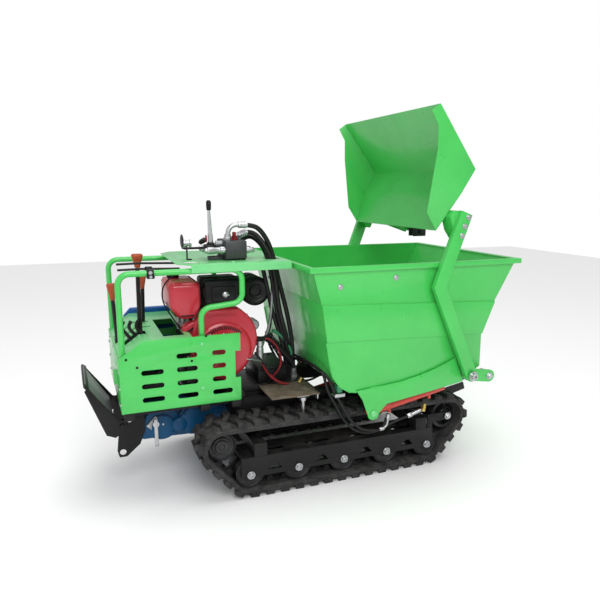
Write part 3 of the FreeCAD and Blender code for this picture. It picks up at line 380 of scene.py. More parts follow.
def block(bm, low, high, bevel=0.002, index=0, segments=2):
    """Box between two corners with rounded edges."""
    low, high = Vector(low), Vector(high)
    made = bmesh.ops.create_cube(bm, size=1.0)["verts"]
    middle = (low + high) / 2
    span = high - low
    for vert in made:
        vert.co = Vector((vert.co.x * span.x, vert.co.y * span.y, vert.co.z * span.z)) + middle
    edges = list({edge for vert in made for edge in vert.link_edges})
    faces = list({face for vert in made for face in vert.link_faces})
    for face in faces:
        face.material_index = index
    if bevel:
        made = bmesh.ops.bevel(bm, geom=edges, offset=min(bevel, min(span) * 0.45), segments=segments,
                               profile=0.5, affect="EDGES")
        for face in made["faces"]:
            face.material_index = index


def prism(bm, outline, low, high, bevel=0.002, index=0, segments=2):
    """Outline in X and Z, pushed from low to high along Y, with rounded edges."""
    near = [bm.verts.new((x + MID_X, low, z)) for x, z in outline]
    far = [bm.verts.new((x + MID_X, high, z)) for x, z in outline]
    faces = [bm.faces.new(near), bm.faces.new(far[::-1])]
    for spot in range(len(outline)):
        following = (spot + 1) % len(outline)
        faces.append(bm.faces.new((near[following], near[spot], far[spot], far[following])))
    bmesh.ops.recalc_face_normals(bm, faces=faces)
    for face in faces:
        face.material_index = index
    if bevel:
        edges = list({edge for face in faces for edge in face.edges})
        made = bmesh.ops.bevel(bm, geom=edges, offset=bevel, segments=segments, profile=0.5,
                               affect="EDGES")
        for face in made["faces"]:
            face.material_index = index


# ------------------------------------------------------------------ geometry nodes
def hidden_object(name, bm):
    """Small source mesh for instances, taken away again at the end."""
    mesh = bpy.data.meshes.new(name)
    bm.to_mesh(mesh)
    bm.free()
    source = bpy.data.objects.new(name, mesh)
    SOURCES.append(source)
    return source


SOURCES = []


def hex_bolt():
    """Hexagon head on a washer, one unit across its washer's radius."""
    bm = bmesh.new()
    turned(bm, [(0.0, 0.0), (1.0, 0.0), (1.0, 0.14), (0.92, 0.2), (0.0, 0.2)], Vector(), (0, 0, 1), 24)
    turned(bm, [(0.0, 0.2), (0.72, 0.2), (0.72, 0.58), (0.6, 0.68), (0.0, 0.68)], Vector(), (0, 0, 1), 6)
    return hidden_object("hex_bolt_source", bm)


def socket_bolt():
    """Cap screw with a socket, on a washer."""
    bm = bmesh.new()
    turned(bm, [(0.0, 0.0), (1.0, 0.0), (1.0, 0.16), (0.94, 0.22), (0.66, 0.22), (0.66, 0.75),
                (0.58, 0.85), (0.36, 0.85), (0.34, 0.45), (0.0, 0.45)], Vector(), (0, 0, 1), 24)
    return hidden_object("socket_bolt_source", bm)


def dome_rivet():
    """Low dome head."""
    bm = bmesh.new()
    turned(bm, [(0.0, 0.0), (1.0, 0.0), (0.95, 0.2), (0.75, 0.4), (0.4, 0.52), (0.0, 0.56)],
           Vector(), (0, 0, 1), 16)
    return hidden_object("dome_rivet_source", bm)


def fastener_tree(name):
    """Instances of one head on points, turned to their 'aim' and sized by their 'size'."""
    tree = bpy.data.node_groups.new(name, "GeometryNodeTree")
    face = tree.interface
    face.new_socket("Points", in_out="INPUT", socket_type="NodeSocketGeometry")
    face.new_socket("Head", in_out="INPUT", socket_type="NodeSocketObject")
    face.new_socket("Finish", in_out="INPUT", socket_type="NodeSocketMaterial")
    face.new_socket("Heads", in_out="OUTPUT", socket_type="NodeSocketGeometry")
    nodes, links = tree.nodes, tree.links
    start = nodes.new("NodeGroupInput")
    stop = nodes.new("NodeGroupOutput")
    head = nodes.new("GeometryNodeObjectInfo")
    spread = nodes.new("GeometryNodeInstanceOnPoints")
    aim = nodes.new("GeometryNodeInputNamedAttribute")
    aim.data_type = "FLOAT_VECTOR"
    aim.inputs["Name"].default_value = "aim"
    grow = nodes.new("GeometryNodeInputNamedAttribute")
    grow.data_type = "FLOAT"
    grow.inputs["Name"].default_value = "size"
    turn = nodes.new("FunctionNodeAlignRotationToVector")
    turn.axis = "Z"
    real = nodes.new("GeometryNodeRealizeInstances")
    finish = nodes.new("GeometryNodeSetMaterial")
    links.new(start.outputs["Points"], spread.inputs["Points"])
    links.new(start.outputs["Head"], head.inputs["Object"])
    links.new(head.outputs["Geometry"], spread.inputs["Instance"])
    links.new(aim.outputs["Attribute"], turn.inputs["Vector"])
    links.new(turn.outputs["Rotation"], spread.inputs["Rotation"])
    links.new(grow.outputs["Attribute"], spread.inputs["Scale"])
    links.new(spread.outputs["Instances"], real.inputs["Geometry"])
    links.new(real.outputs["Geometry"], finish.inputs["Geometry"])
    links.new(start.outputs["Finish"], finish.inputs["Material"])
    links.new(finish.outputs["Geometry"], stop.inputs["Heads"])
    return tree


def set_inputs(modifier, values):
    """Give a Geometry Nodes modifier its inputs by socket identifier."""
    for item in modifier.node_group.interface.items_tree:
        if item.item_type == "SOCKET" and item.in_out == "INPUT" and item.name in values:
            modifier[item.identifier] = values[item.name]


FASTENERS = fastener_tree("fasteners_on_points")
HEADS = {"hex": hex_bolt(), "socket": socket_bolt(), "rivet": dome_rivet()}


def fasteners(name, body, spots, kind="hex", material=ZINC):
    """Bolt or rivet heads: each spot is (point, aim, radius)."""
    mesh = bpy.data.meshes.new(name)
    mesh.from_pydata([tuple(point) for point, _, _ in spots], [], [])
    mesh.attributes.new("aim", "FLOAT_VECTOR", "POINT")
    mesh.attributes.new("size", "FLOAT", "POINT")
    for index, (_, aim, radius) in enumerate(spots):
        mesh.attributes["aim"].data[index].vector = aim
        mesh.attributes["size"].data[index].value = radius
    piece = bpy.data.objects.new(name, mesh)
    bpy.context.scene.collection.objects.link(piece)
    modifier = piece.modifiers.new("heads", "NODES")
    modifier.node_group = FASTENERS
    set_inputs(modifier, {"Head": HEADS[kind], "Finish": material})
    evaluated(piece)
    piece.data.shade_smooth()
    piece.data.set_sharp_from_angle(angle=math.radians(30))
    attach(piece, body)
    return piece


def belt_tree():
    """Blocks laid along a closed path in X and Z, each turned to the path."""
    tree = bpy.data.node_groups.new("blocks_along_belt", "GeometryNodeTree")
    face = tree.interface
    face.new_socket("Path", in_out="INPUT", socket_type="NodeSocketGeometry")
    face.new_socket("Block", in_out="INPUT", socket_type="NodeSocketObject")
    face.new_socket("Count", in_out="INPUT", socket_type="NodeSocketInt")
    face.new_socket("Finish", in_out="INPUT", socket_type="NodeSocketMaterial")
    face.new_socket("Blocks", in_out="OUTPUT", socket_type="NodeSocketGeometry")
    nodes, links = tree.nodes, tree.links
    start = nodes.new("NodeGroupInput")
    stop = nodes.new("NodeGroupOutput")
    curve = nodes.new("GeometryNodeMeshToCurve")
    spaced = nodes.new("GeometryNodeResampleCurve")
    spaced.mode = "COUNT"
    tangent = nodes.new("GeometryNodeInputTangent")
    turn = nodes.new("FunctionNodeAlignRotationToVector")
    turn.axis = "X"
    turn.pivot_axis = "Y"
    shape = nodes.new("GeometryNodeObjectInfo")
    spread = nodes.new("GeometryNodeInstanceOnPoints")
    real = nodes.new("GeometryNodeRealizeInstances")
    finish = nodes.new("GeometryNodeSetMaterial")
    links.new(start.outputs["Path"], curve.inputs["Mesh"])
    links.new(curve.outputs["Curve"], spaced.inputs["Curve"])
    links.new(start.outputs["Count"], spaced.inputs["Count"])
    links.new(spaced.outputs["Curve"], spread.inputs["Points"])
    links.new(tangent.outputs["Tangent"], turn.inputs["Vector"])
    links.new(turn.outputs["Rotation"], spread.inputs["Rotation"])
    links.new(start.outputs["Block"], shape.inputs["Object"])
    links.new(shape.outputs["Geometry"], spread.inputs["Instance"])
    links.new(spread.outputs["Instances"], real.inputs["Geometry"])
    links.new(real.outputs["Geometry"], finish.inputs["Geometry"])
    links.new(start.outputs["Finish"], finish.inputs["Material"])
    links.new(finish.outputs["Geometry"], stop.inputs["Blocks"])
    return tree


# ------------------------------------------------------------------ rubber tracks
TRACK_IN, TRACK_OUT = 0.220, 0.400
BELT_SKIN, LUG_DEEP, LUG_PITCH = 0.022, 0.018, 0.072
ROLLER_Z, ROLLER_RAD = 0.1063, 0.066
ROLLER_X = [-0.456 + 0.228 * index for index in range(5)]
WHEELS = [(-0.578, 0.248, 0.068), (ROLLER_X[0], ROLLER_Z, ROLLER_RAD),
          (ROLLER_X[-1], ROLLER_Z, ROLLER_RAD), (0.572, 0.240, 0.073)]


def belt_path(grow, step=0.012):
    """Evenly spaced points of the loop around the wheels, and its whole length."""
    ends = []
    for index, (x, z, rad) in enumerate(WHEELS):
        far_x, far_z, far_rad = WHEELS[(index + 1) % len(WHEELS)]
        run = math.hypot(far_x - x, far_z - z)
        turn = math.atan2(far_z - z, far_x - x) - math.acos((rad - far_rad) / run)
        aside = Vector((math.cos(turn), 0, math.sin(turn)))
        ends.append((turn, Vector((x, 0, z)) + aside * (rad + grow),
                     Vector((far_x, 0, far_z)) + aside * (far_rad + grow)))
    dense = []
    for index, (turn, start, stop) in enumerate(ends):
        pieces = max(2, int((stop - start).length / 0.004))
        dense += [start.lerp(stop, step_ / pieces) for step_ in range(pieces)]
        x, z, rad = WHEELS[(index + 1) % len(WHEELS)]
        sweep = (ends[(index + 1) % len(ends)][0] - turn) % (2 * math.pi)
        pieces = max(3, int(sweep * (rad + grow) / 0.004))
        for step_ in range(pieces):
            angle = turn + sweep * step_ / pieces
            dense.append(Vector((x + (rad + grow) * math.cos(angle), 0,
                                 z + (rad + grow) * math.sin(angle))))
    lengths = [0.0]
    for a, b in zip(dense, dense[1:] + dense[:1]):
        lengths.append(lengths[-1] + (b - a).length)
    total = lengths[-1]
    count = int(round(total / step))
    path, spot = [], 0
    for index in range(count):
        goal = total * index / count
        while lengths[spot + 1] < goal:
            spot += 1
        part = (goal - lengths[spot]) / (lengths[spot + 1] - lengths[spot])
        path.append(dense[spot].lerp(dense[(spot + 1) % len(dense)], part))
    return path, total


def chevron(side, outer):
    """One tread block: a slanted bar with a foot, on the outer or inner half of the belt."""
    bm = bmesh.new()
    middle = side * (TRACK_IN + TRACK_OUT) / 2
    edge = side * ((TRACK_OUT - 0.001) if outer else (TRACK_IN + 0.001))
    root = middle - (edge - middle) * 0.10
    knee = middle + (edge - middle) * 0.55
    half, sweep = 0.0155, 0.019
    top, foot = -LUG_DEEP, 0.002
    stations = [(root, sweep, 0.78), (knee, -sweep * 0.35, 1.0), (edge, -sweep * 0.35, 1.25)]
    rings = []
    for y, x, wide in stations:
        ring = [bm.verts.new((x - half * wide - 0.004, y, foot)),
                bm.verts.new((x - half * wide, y, top)),
                bm.verts.new((x + half * wide, y, top)),
                bm.verts.new((x + half * wide + 0.004, y, foot))]
        rings.append(ring)
    for low, high in zip(rings, rings[1:]):
        for spot in range(4):
            following = (spot + 1) % 4
            bm.faces.new((low[spot], low[following], high[following], high[spot]))
    bm.faces.new(rings[0])
    bm.faces.new(rings[-1][::-1])
    bmesh.ops.recalc_face_normals(bm, faces=bm.faces)
    bmesh.ops.bevel(bm, geom=list(bm.edges), offset=0.0022, segments=2, profile=0.5, affect="EDGES")
    return hidden_object(f"tread_block_{side}_{outer}", bm)


BELT_TREE = belt_tree()


def tread_blocks(name, side, outer, shift, body):
    """A row of tread blocks around one track."""
    path, total = belt_path(BELT_SKIN)
    count = int(round(total / LUG_PITCH))
    offset = int(round(shift * len(path) / count))
    path = path[offset:] + path[:offset]
    mesh = bpy.data.meshes.new(name)
    links = [(spot, (spot + 1) % len(path)) for spot in range(len(path))]
    mesh.from_pydata([(p.x + MID_X, 0, p.z) for p in path], links, [])
    piece = bpy.data.objects.new(name, mesh)
    bpy.context.scene.collection.objects.link(piece)
    modifier = piece.modifiers.new("blocks", "NODES")
    modifier.node_group = BELT_TREE
    set_inputs(modifier, {"Block": chevron(side, outer), "Count": count, "Finish": RUBBER})
    evaluated(piece)
    piece.data.shade_smooth()
    piece.data.set_sharp_from_angle(angle=math.radians(35))
    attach(piece, body)
    return piece


def rubber_belt(letter, side):
    """Carcass with thick edges and guide teeth inside."""
    bm = bmesh.new()
    path, total = belt_path(0.0)
    count = len(path)
    low, high = sorted((side * TRACK_IN, side * TRACK_OUT))
    section = [(low, 0.0015), (low + 0.006, 0.0), (low + 0.052, 0.0), (low + 0.056, 0.004),
               (high - 0.056, 0.004), (high - 0.052, 0.0), (high - 0.006, 0.0), (high, 0.0015),
               (high, BELT_SKIN - 0.005), (high - 0.005, BELT_SKIN), (low + 0.005, BELT_SKIN),
               (low, BELT_SKIN - 0.005)]
    rings = []
    for spot in range(count):
        along = (path[(spot + 1) % count] - path[spot - 1]).normalized()
        out = Vector((along.z, 0, -along.x))
        rings.append([bm.verts.new(path[spot] + out * (deep + 0.0004) + Vector((MID_X, y, 0)))
                      for y, deep in section])
    for spot in range(count):
        near, far = rings[spot], rings[(spot + 1) % count]
        for step in range(len(section)):
            following = (step + 1) % len(section)
            bm.faces.new((near[step], near[following], far[following], far[step]))
    bmesh.ops.recalc_face_normals(bm, faces=bm.faces)
    settle(f"rubber_belt_{letter}", bm, RUBBER, "chassis", [f"rubber_track_{letter}"])
    tread_blocks(f"tread_outer_{letter}", side, True, 0.0, "chassis")
    tread_blocks(f"tread_inner_{letter}", side, False, 0.5, "chassis")
    bm = bmesh.new()
    pitches = int(round(total / LUG_PITCH))
    middle = side * (TRACK_IN + TRACK_OUT) / 2
    for index in range(pitches):
        spot = int(index * count / pitches)
        along = (path[(spot + 1) % count] - path[spot - 1]).normalized()
        inside = Vector((-along.z, 0, along.x))
        base = path[spot] + Vector((MID_X, middle, 0))
        for tooth in (-0.016, 0.016):
            centre = base + Vector((0, tooth, 0))
            ring = []
            for high_, half in ((-0.004, 0.017), (0.018, 0.009)):
                for a, b in ((-1, -1), (1, -1), (1, 1), (-1, 1)):
                    ring.append(bm.verts.new(centre + inside * high_ + along * a * half
                                             + Vector((0, b * half * 0.42, 0))))
            for face in ((0, 1, 5, 4), (1, 2, 6, 5), (2, 3, 7, 6), (3, 0, 4, 7), (4, 5, 6, 7), (3, 2, 1, 0)):
                bm.faces.new([ring[corner] for corner in face])
    bmesh.ops.recalc_face_normals(bm, faces=bm.faces)
    settle(f"guide_teeth_{letter}", bm, RUBBER, "chassis")


# ------------------------------------------------------------------ undercarriage
def undercarriage():
    """Belt, frame, rollers, sprocket and idler on each side."""
    for letter, side in SIDES:
        rubber_belt(letter, side)
        skinned(f"track_frame_{letter}", BLACK, 0.0015)
        rollers(letter, side)
        drive_sprocket(letter, side)
        idler(letter, side)


def rollers(letter, side):
    """Twin-flanged rollers with dished faces, hub caps and socket screws."""
    bm = bmesh.new()
    spots = []
    for x in ROLLER_X:
        for inner, outer in ((0.244, 0.284), (0.336, 0.376)):
            base = at(x, side * inner, ROLLER_Z)
            wide = outer - inner
            turned(bm, [(0.0, 0.0), (0.030, 0.0), (0.034, 0.004), (0.056, 0.004), (0.060, 0.0),
                        (0.0655, 0.002),
                        (0.0655, wide - 0.002), (0.060, wide), (0.056, wide - 0.004), (0.034, wide - 0.004),
                        (0.030, wide), (0.0, wide)], base, (0, side, 0), 40)
        plug(bm, 0.044, 0.052, at(x, side * 0.284, ROLLER_Z),
               (0, side, 0), 32)
        plug(bm, 0.012, 0.166, at(x, side * 0.226, ROLLER_Z), (0, side, 0), 20)
        spots.append((at(x, side * 0.390, ROLLER_Z), (0, side, 0), 0.0185))
    settle(f"rollers_{letter}", bm, IRON, "chassis", [f"track_rollers_{letter}"])
    fasteners(f"roller_screws_{letter}", "chassis", spots, "socket")


def drive_sprocket(letter, side):
    """Toothed wheel whose pins reach into the belt."""
    x, z, rad = WHEELS[0]
    bm = bmesh.new()
    turned(bm, [(0.0, 0.0), (0.050, 0.0), (0.052, 0.003), (0.052, 0.013), (0.050, 0.016), (0.0, 0.016)],
           at(x, side * 0.302, z), (0, side, 0), 40)
    turned(bm, [(0.0, 0.0), (0.028, 0.0), (0.028, 0.082), (0.024, 0.088), (0.0, 0.088)],
           at(x, side * 0.264, z), (0, side, 0), 28)
    teeth = 9
    for index in range(teeth):
        turn = 2 * math.pi * index / teeth
        spot = at(x + (rad - 0.010) * math.cos(turn), side * 0.268, z + (rad - 0.010) * math.sin(turn))
        turned(bm, [(0.0, 0.0), (0.0085, 0.0), (0.0095, 0.002), (0.0095, 0.082), (0.0085, 0.084),
                    (0.0, 0.084)],
               spot, (0, side, 0), 14)
    turned(bm, [(0.0, 0.0), (rad - 0.006, 0.0), (rad - 0.004, 0.002), (rad - 0.004, 0.006),
                (rad - 0.006, 0.008), (0.0, 0.008)], at(x, side * 0.268, z), (0, side, 0), 40)
    turned(bm, [(0.0, 0.0), (rad - 0.004, 0.0), (rad - 0.002, 0.003), (rad - 0.002, 0.012),
                (rad - 0.008, 0.016),
                (rad - 0.014, 0.008), (rad - 0.024, 0.006), (rad - 0.028, 0.012), (rad - 0.036, 0.012),
                (rad - 0.040, 0.018), (0.014, 0.019), (0.010, 0.015), (0.0, 0.014)],
           at(x, side * 0.344, z), (0, side, 0), 44)
    settle(f"sprocket_{letter}", bm, IRON, "chassis", [f"drive_sprocket_{letter}"])
    spots = [(at(x + 0.034 * math.cos(turn), side * 0.3555, z + 0.034 * math.sin(turn)), (0, side, 0), 0.005)
             for turn in (0.5, 1.55, 2.6, 3.65, 4.7, 5.75)]
    fasteners(f"sprocket_bolts_{letter}", "chassis", spots, "hex", IRON)


def idler(letter, side):
    """Front tension wheel: rim, five spokes and its hub."""
    x, z, rad = WHEELS[-1]
    bm = bmesh.new()
    rim = []
    for radius, y in ((rad, 0.262), (rad, 0.358), (rad - 0.014, 0.358), (rad - 0.018, 0.318),
                      (rad - 0.018, 0.302), (rad - 0.014, 0.262)):
        rim.append([bm.verts.new(at(x + radius * math.cos(math.tau * step / 44), side * y,
                                    z + radius * math.sin(math.tau * step / 44))) for step in range(44)])
    for low, high in zip(rim, rim[1:] + rim[:1]):
        for step in range(44):
            following = (step + 1) % 44
            bm.faces.new((low[step], low[following], high[following], high[step]))
    bmesh.ops.recalc_face_normals(bm, faces=bm.faces)
    for index in range(5):
        turn = math.tau * index / 5 + 0.3
        out = Vector((math.cos(turn), 0, math.sin(turn)))
        tube(bm, [at(x, side * 0.310, z) + out * 0.018, at(x, side * 0.310, z) + out * (rad - 0.012)],
             0.009, 10)
    turned(bm, [(0.0, 0.0), (0.026, 0.0), (0.026, 0.104), (0.022, 0.108), (0.0, 0.108)],
           at(x, side * 0.256, z), (0, side, 0), 28)
    plug(bm, 0.012, 0.168, at(x, side * 0.224, z),
           (0, side, 0), 20)
    settle(f"tension_wheel_{letter}", bm, IRON, "chassis", [f"idler_{letter}"])
    fasteners(f"idler_bolt_{letter}", "chassis", [(at(x, side * 0.392, z), (0, side, 0), 0.018)])


# ------------------------------------------------------------------ hoses and cables
def route_mesh(routes, radius):
    """Smooth tubes along routes, each a NURBS curve with the route's points as its controls."""
    curve = bpy.data.curves.new("route", "CURVE")
    curve.dimensions = "3D"
    for points in routes:
        spline = curve.splines.new("NURBS")
        spline.points.add(len(points) - 1)
        for spot, point in zip(spline.points, points):
            spot.co = (*at(*point), 1)
        spline.order_u = 3
        spline.use_endpoint_u = True
    curve.resolution_u = 10
    curve.bevel_depth = radius
    curve.bevel_resolution = 3
    curve.use_fill_caps = True
    holder = bpy.data.objects.new("route", curve)
    bpy.context.scene.collection.objects.link(holder)
    graph = bpy.context.evaluated_depsgraph_get()
    mesh = bpy.data.meshes.new_from_object(holder.evaluated_get(graph))
    bpy.data.objects.remove(holder)
    return mesh


def hoses(name, body, routes, radius, material=HOSE, replaces=(), to_body=None):
    """Hoses or cables held at both ends; with to_body they keep their place and ride on no body."""
    mesh = route_mesh(routes, radius)
    mesh.name = name
    mesh.materials.clear()
    mesh.materials.append(material)
    mesh.shade_smooth()
    mesh.set_sharp_from_angle(angle=math.radians(50))
    piece = bpy.data.objects.new(name, mesh)
    bpy.context.scene.collection.objects.link(piece)
    if to_body:
        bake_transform(piece)
    else:
        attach(piece, body)
    for node in replaces:
        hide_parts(node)
    return piece


def ferrule(bm, start, stop, radius, nut=True):
    """Crimped hose end with rings, and the hexagon nut behind it."""
    base = at(*start)
    aim = at(*stop) - base
    long = aim.length
    if nut:
        turned(bm, [(0.0, 0.0), (radius * 1.25, 0.0), (radius * 1.35, 0.001), (radius * 1.35, 0.3 * long),
                    (radius * 1.2, 0.33 * long), (0.0, 0.33 * long)], base, aim, 6)
    rings = [(0.0, 0.3 * long), (radius, 0.3 * long)]
    for step in range(4):
        here = (0.38 + 0.14 * step) * long
        rings += [(radius * 1.12, here), (radius * 1.12, here + 0.09 * long), (radius, here + 0.10 * long)]
    turned(bm, rings + [(radius, long), (0.0, long)], base, aim, 20)


def valve_hose_set():
    """Two hydraulic hoses from the valve, through the deck, down to the frame."""
    hoses("valve_hose_pair", "chassis", [
        [(-.408, -.148, 1.1965), (-.372, -.148, 1.194), (-.330, -.146, 1.180), (-.286, -.139, 1.120),
         (-.258, -.132, 1.045), (-.228, -.120, .930), (-.180, -.108, .760), (-.152, -.105, .600),
         (-.150, -.105, .440)],
        [(-.400, -.100, 1.158), (-.370, -.104, 1.163), (-.332, -.118, 1.150), (-.290, -.146, 1.080),
         (-.268, -.152, 1.010), (-.252, -.148, .930), (-.236, -.140, .800), (-.190, -.125, .650),
         (-.158, -.070, .540), (-.158, -.060, .440)]], 0.0112, replaces=["valve_hoses"])
    hoses("return_hose_pair", "chassis", [
        [(-.400, -.052, 1.110), (-.376, -.056, 1.132), (-.340, -.080, 1.140), (-.300, -.120, 1.090),
         (-.278, -.134, 1.010), (-.262, -.132, .920), (-.244, -.124, .800), (-.214, -.116, .690),
         (-.182, -.110, .600), (-.168, -.090, .520), (-.166, -.080, .440)],
        [(-.300, -.100, .990), (-.284, -.104, .920), (-.262, -.106, .800), (-.232, -.108, .700),
         (-.204, -.108, .610), (-.184, -.092, .520), (-.180, -.084, .440)]], 0.0105)
    bm = bmesh.new()
    elbow = rounded([at(-.476, -.148, 1.118), at(-.476, -.148, 1.150), at(-.470, -.148, 1.176),
                     at(-.452, -.148, 1.193), at(-.425, -.148, 1.198)], 5)
    tube(bm, elbow, 0.0105, 16)
    turned(bm, [(0.0, 0.0), (0.017, 0.0), (0.018, 0.002), (0.018, 0.020), (0.016, 0.022), (0.0, 0.022)],
           at(-.476, -.148, 1.122), (0, 0, 1), 6)
    plug(bm, 0.0145, 0.013, at(-.476, -.148, 1.143), (0, 0, 1), 20)
    ferrule(bm, (-.446, -.148, 1.1975), (-.386, -.148, 1.196), 0.0135, nut=False)
    ferrule(bm, (-.436, -.098, 1.138), (-.372, -.103, 1.163), 0.0135)
    for x, y in ((-.150, -.105), (-.158, -.060)):
        ferrule(bm, (x, y, .4385), (x, y, .490), 0.0130)
    settle("valve_hose_fittings", bm, ZINC, "chassis")
    bm = bmesh.new()
    plug(bm, 0.0125, 0.022, at(-.440, -.128, 1.124), (0, 0, 1), 18)
    block(bm, at(-.449, -.136, 1.146), at(-.434, -.120, 1.164), 0.003)
    settle("valve_red_plugs", bm, RED_WIRE, "chassis")
    bm = bmesh.new()
    turned(bm, [(0.0, 0.0), (0.013, 0.0), (0.013, 0.016), (0.009, 0.018), (0.009, 0.030), (0.0, 0.030)],
           at(-.446, -.096, 1.122), (0.6, 0, 0.8), 6)
    settle("valve_brass_nipple", bm, BRASS, "chassis")


LIFT_ROUTES = [
    [(-.100, -.436, .520), (-.084, -.436, .472), (-.040, -.436, .398), (0, -.436, .322), (.060, -.436, .262),
     (.130, -.436, .246), (.185, -.434, .248), (.198, -.428, .298)],
    [(-.118, -.418, .528), (-.104, -.418, .466), (-.058, -.418, .388), (-.018, -.416, .308),
     (.050, -.416, .244), (.140, -.416, .226), (.215, -.416, .256), (.300, -.420, .284),
     (.395, -.426, .298)]]


def lift_hose_set(letter, side):
    """Hoses of one lift cylinder, with their clamp on the hopper and fittings on the barrel."""
    routes = [[(x, -side * y, z) for x, y, z in route] for route in LIFT_ROUTES]
    hoses(f"lift_hose_pair_{letter}", "hopper_body", routes, 0.0068, replaces=[f"lift_hoses_{letter}"])
    feeds = [[(-.150, side * .120, .560), (-.146, side * .190, .566), (-.138, side * .280, .566),
              (-.128, side * .370, .560), (-.118, side * .418, .548), (-.108, side * .434, .532),
              (-.098, side * .436, .512)],
             [(-.146, side * .110, .540), (-.142, side * .180, .552), (-.138, side * .270, .560),
              (-.134, side * .350, .562), (-.130, side * .396, .558), (-.122, side * .414, .546),
              (-.116, side * .418, .522)]]
    hoses(f"lift_hose_feed_{letter}", "chassis", feeds, 0.0068, to_body="hopper_body")
    bm = bmesh.new()
    right, left = sorted((side * .404, side * .446))
    block(bm, at(-.066, right, .458), at(-.040, left, .494), 0.005)
    settle(f"hose_clamp_{letter}", bm, GREEN_HOSE, "hopper_body")
    bm = bmesh.new()
    for inner, low, high in ((.446, .444, .456), (.400, .440, .446)):
        right, left = sorted((side * .452, side * inner))
        block(bm, at(-.080, right, low), at(-.030, left, high), 0.002)
    settle(f"hose_clamp_plate_{letter}", bm, ZINC, "hopper_body")
    barrel = "barrel_right" if side < 0 else "barrel_left"
    bm = bmesh.new()
    y = side * .428
    ferrule(bm, (.150, side * .434, .2475), (.184, side * .434, .250), 0.0085, nut=False)
    bend = rounded([at(.184, y, .250), at(.198, y, .258), at(.204, y, .274), at(.205, y, .300)], 4)
    tube(bm, bend, 0.0065, 12)
    plug(bm, 0.012, 0.020, at(.205, y, .296), (0.15, 0, 1), 6)
    ferrule(bm, (.318, side * .422, .2865), (.388, side * .426, .310), 0.0085)
    settle(f"ram_fittings_{letter}", bm, ZINC, barrel)
    bm = bmesh.new()
    turned(bm, [(0.0, 0.0), (0.0125, 0.0), (0.0125, 0.022), (0.0095, 0.026), (0.0095, 0.036), (0.0, 0.036)],
           at(.400, y, .304), (0.22, 0, 0.97), 6)
    settle(f"ram_banjo_{letter}", bm, BRASS, barrel)


def cables():
    """Wiring and control cables around the engine and the battery."""
    hoses("throttle_cable", "chassis", [
        [(-.640, -.105, 1.000), (-.680, -.105, .985), (-.730, -.105, .970), (-.768, -.110, .925),
         (-.768, -.120, .860), (-.735, -.130, .800), (-.700, -.140, .745), (-.680, -.145, .715)]],
          0.0032, BLACK_PLASTIC)
    hoses("fuel_pipe", "chassis", [
        [(-.662, -.120, .792), (-.640, -.150, .770), (-.650, -.190, .752), (-.680, -.200, .736),
         (-.705, -.190, .722)]], 0.0045, BLACK_PLASTIC)
    hoses("starter_cable_red", "chassis", [
        [(-.318, -.145, .660), (-.300, -.150, .668), (-.262, -.150, .640), (-.236, -.150, .590),
         (-.226, -.150, .545), (-.242, -.150, .500), (-.272, -.140, .470), (-.280, -.130, .452)],
        [(-.330, -.150, .560), (-.318, -.165, .520), (-.290, -.178, .480), (-.256, -.188, .452),
         (-.222, -.192, .441)],
        [(-.322, -.142, .556), (-.308, -.158, .516), (-.278, -.172, .474), (-.244, -.184, .447),
         (-.205, -.190, .441)]], 0.0048, RED_WIRE)
    hoses("battery_lead_black", "chassis", [
        [(-.300, -.120, .668), (-.275, -.118, .690), (-.262, -.112, .760), (-.258, -.110, .860),
         (-.262, -.112, .960), (-.268, -.115, 1.020)],
        [(-.360, -.150, .602), (-.330, -.160, .560), (-.300, -.170, .520), (-.288, -.168, .480),
         (-.292, -.150, .445)]], 0.0050, HOSE)
    hoses("wire_conduit_grey", "chassis", [
        [(-.258, -.128, 1.012), (-.262, -.126, .940), (-.264, -.124, .850), (-.270, -.122, .760),
         (-.290, -.122, .680), (-.318, -.124, .620), (-.335, -.120, .560)]],
          0.0068, ALLOY)
    hoses("ground_strap", "chassis", [
        [(-.465, -.204, .600), (-.420, -.206, .592), (-.375, -.200, .580), (-.335, -.180, .562)]],
          0.0035, ZINC)


# ------------------------------------------------------------------ engine
def fuel_tank():
    """Pressed tank with chamfered corners, its cap, tap and strap."""
    bm = bmesh.new()
    prism(bm, [(-.738, .955), (-.624, .955), (-.611, .938), (-.611, .840), (-.642, .791), (-.704, .791),
               (-.747, .840), (-.749, .938)], -.190, .060, 0.022, segments=5)
    settle("fuel_tank_shell", bm, RED, "chassis", ["fuel_tank"], 50)
    bm = bmesh.new()
    turned(bm, [(0.0, 0.0), (0.026, 0.0), (0.028, 0.003), (0.028, 0.014), (0.024, 0.018), (0.0, 0.018)],
           at(-.700, 0, .955), (0, 0, 1), 24)
    block(bm, at(-.704, -.192, .806), at(-.646, -.188, .812), 0.002)
    settle("fuel_cap", bm, BLACK_PLASTIC, "chassis")
    bm = bmesh.new()
    for x, y, low in ((-.705, -.118, .738), (-.686, -.124, .764), (-.662, -.120, .768)):
        turned(bm, [(0.0, 0.0), (0.007, 0.0), (0.007, 0.010), (0.010, 0.012), (0.010, 0.024), (0.006, 0.026),
                    (0.006, .795 - low), (0.0, .795 - low)], at(x, y, low), (0, 0, 1), 12)
    settle("fuel_tap", bm, ZINC, "chassis")


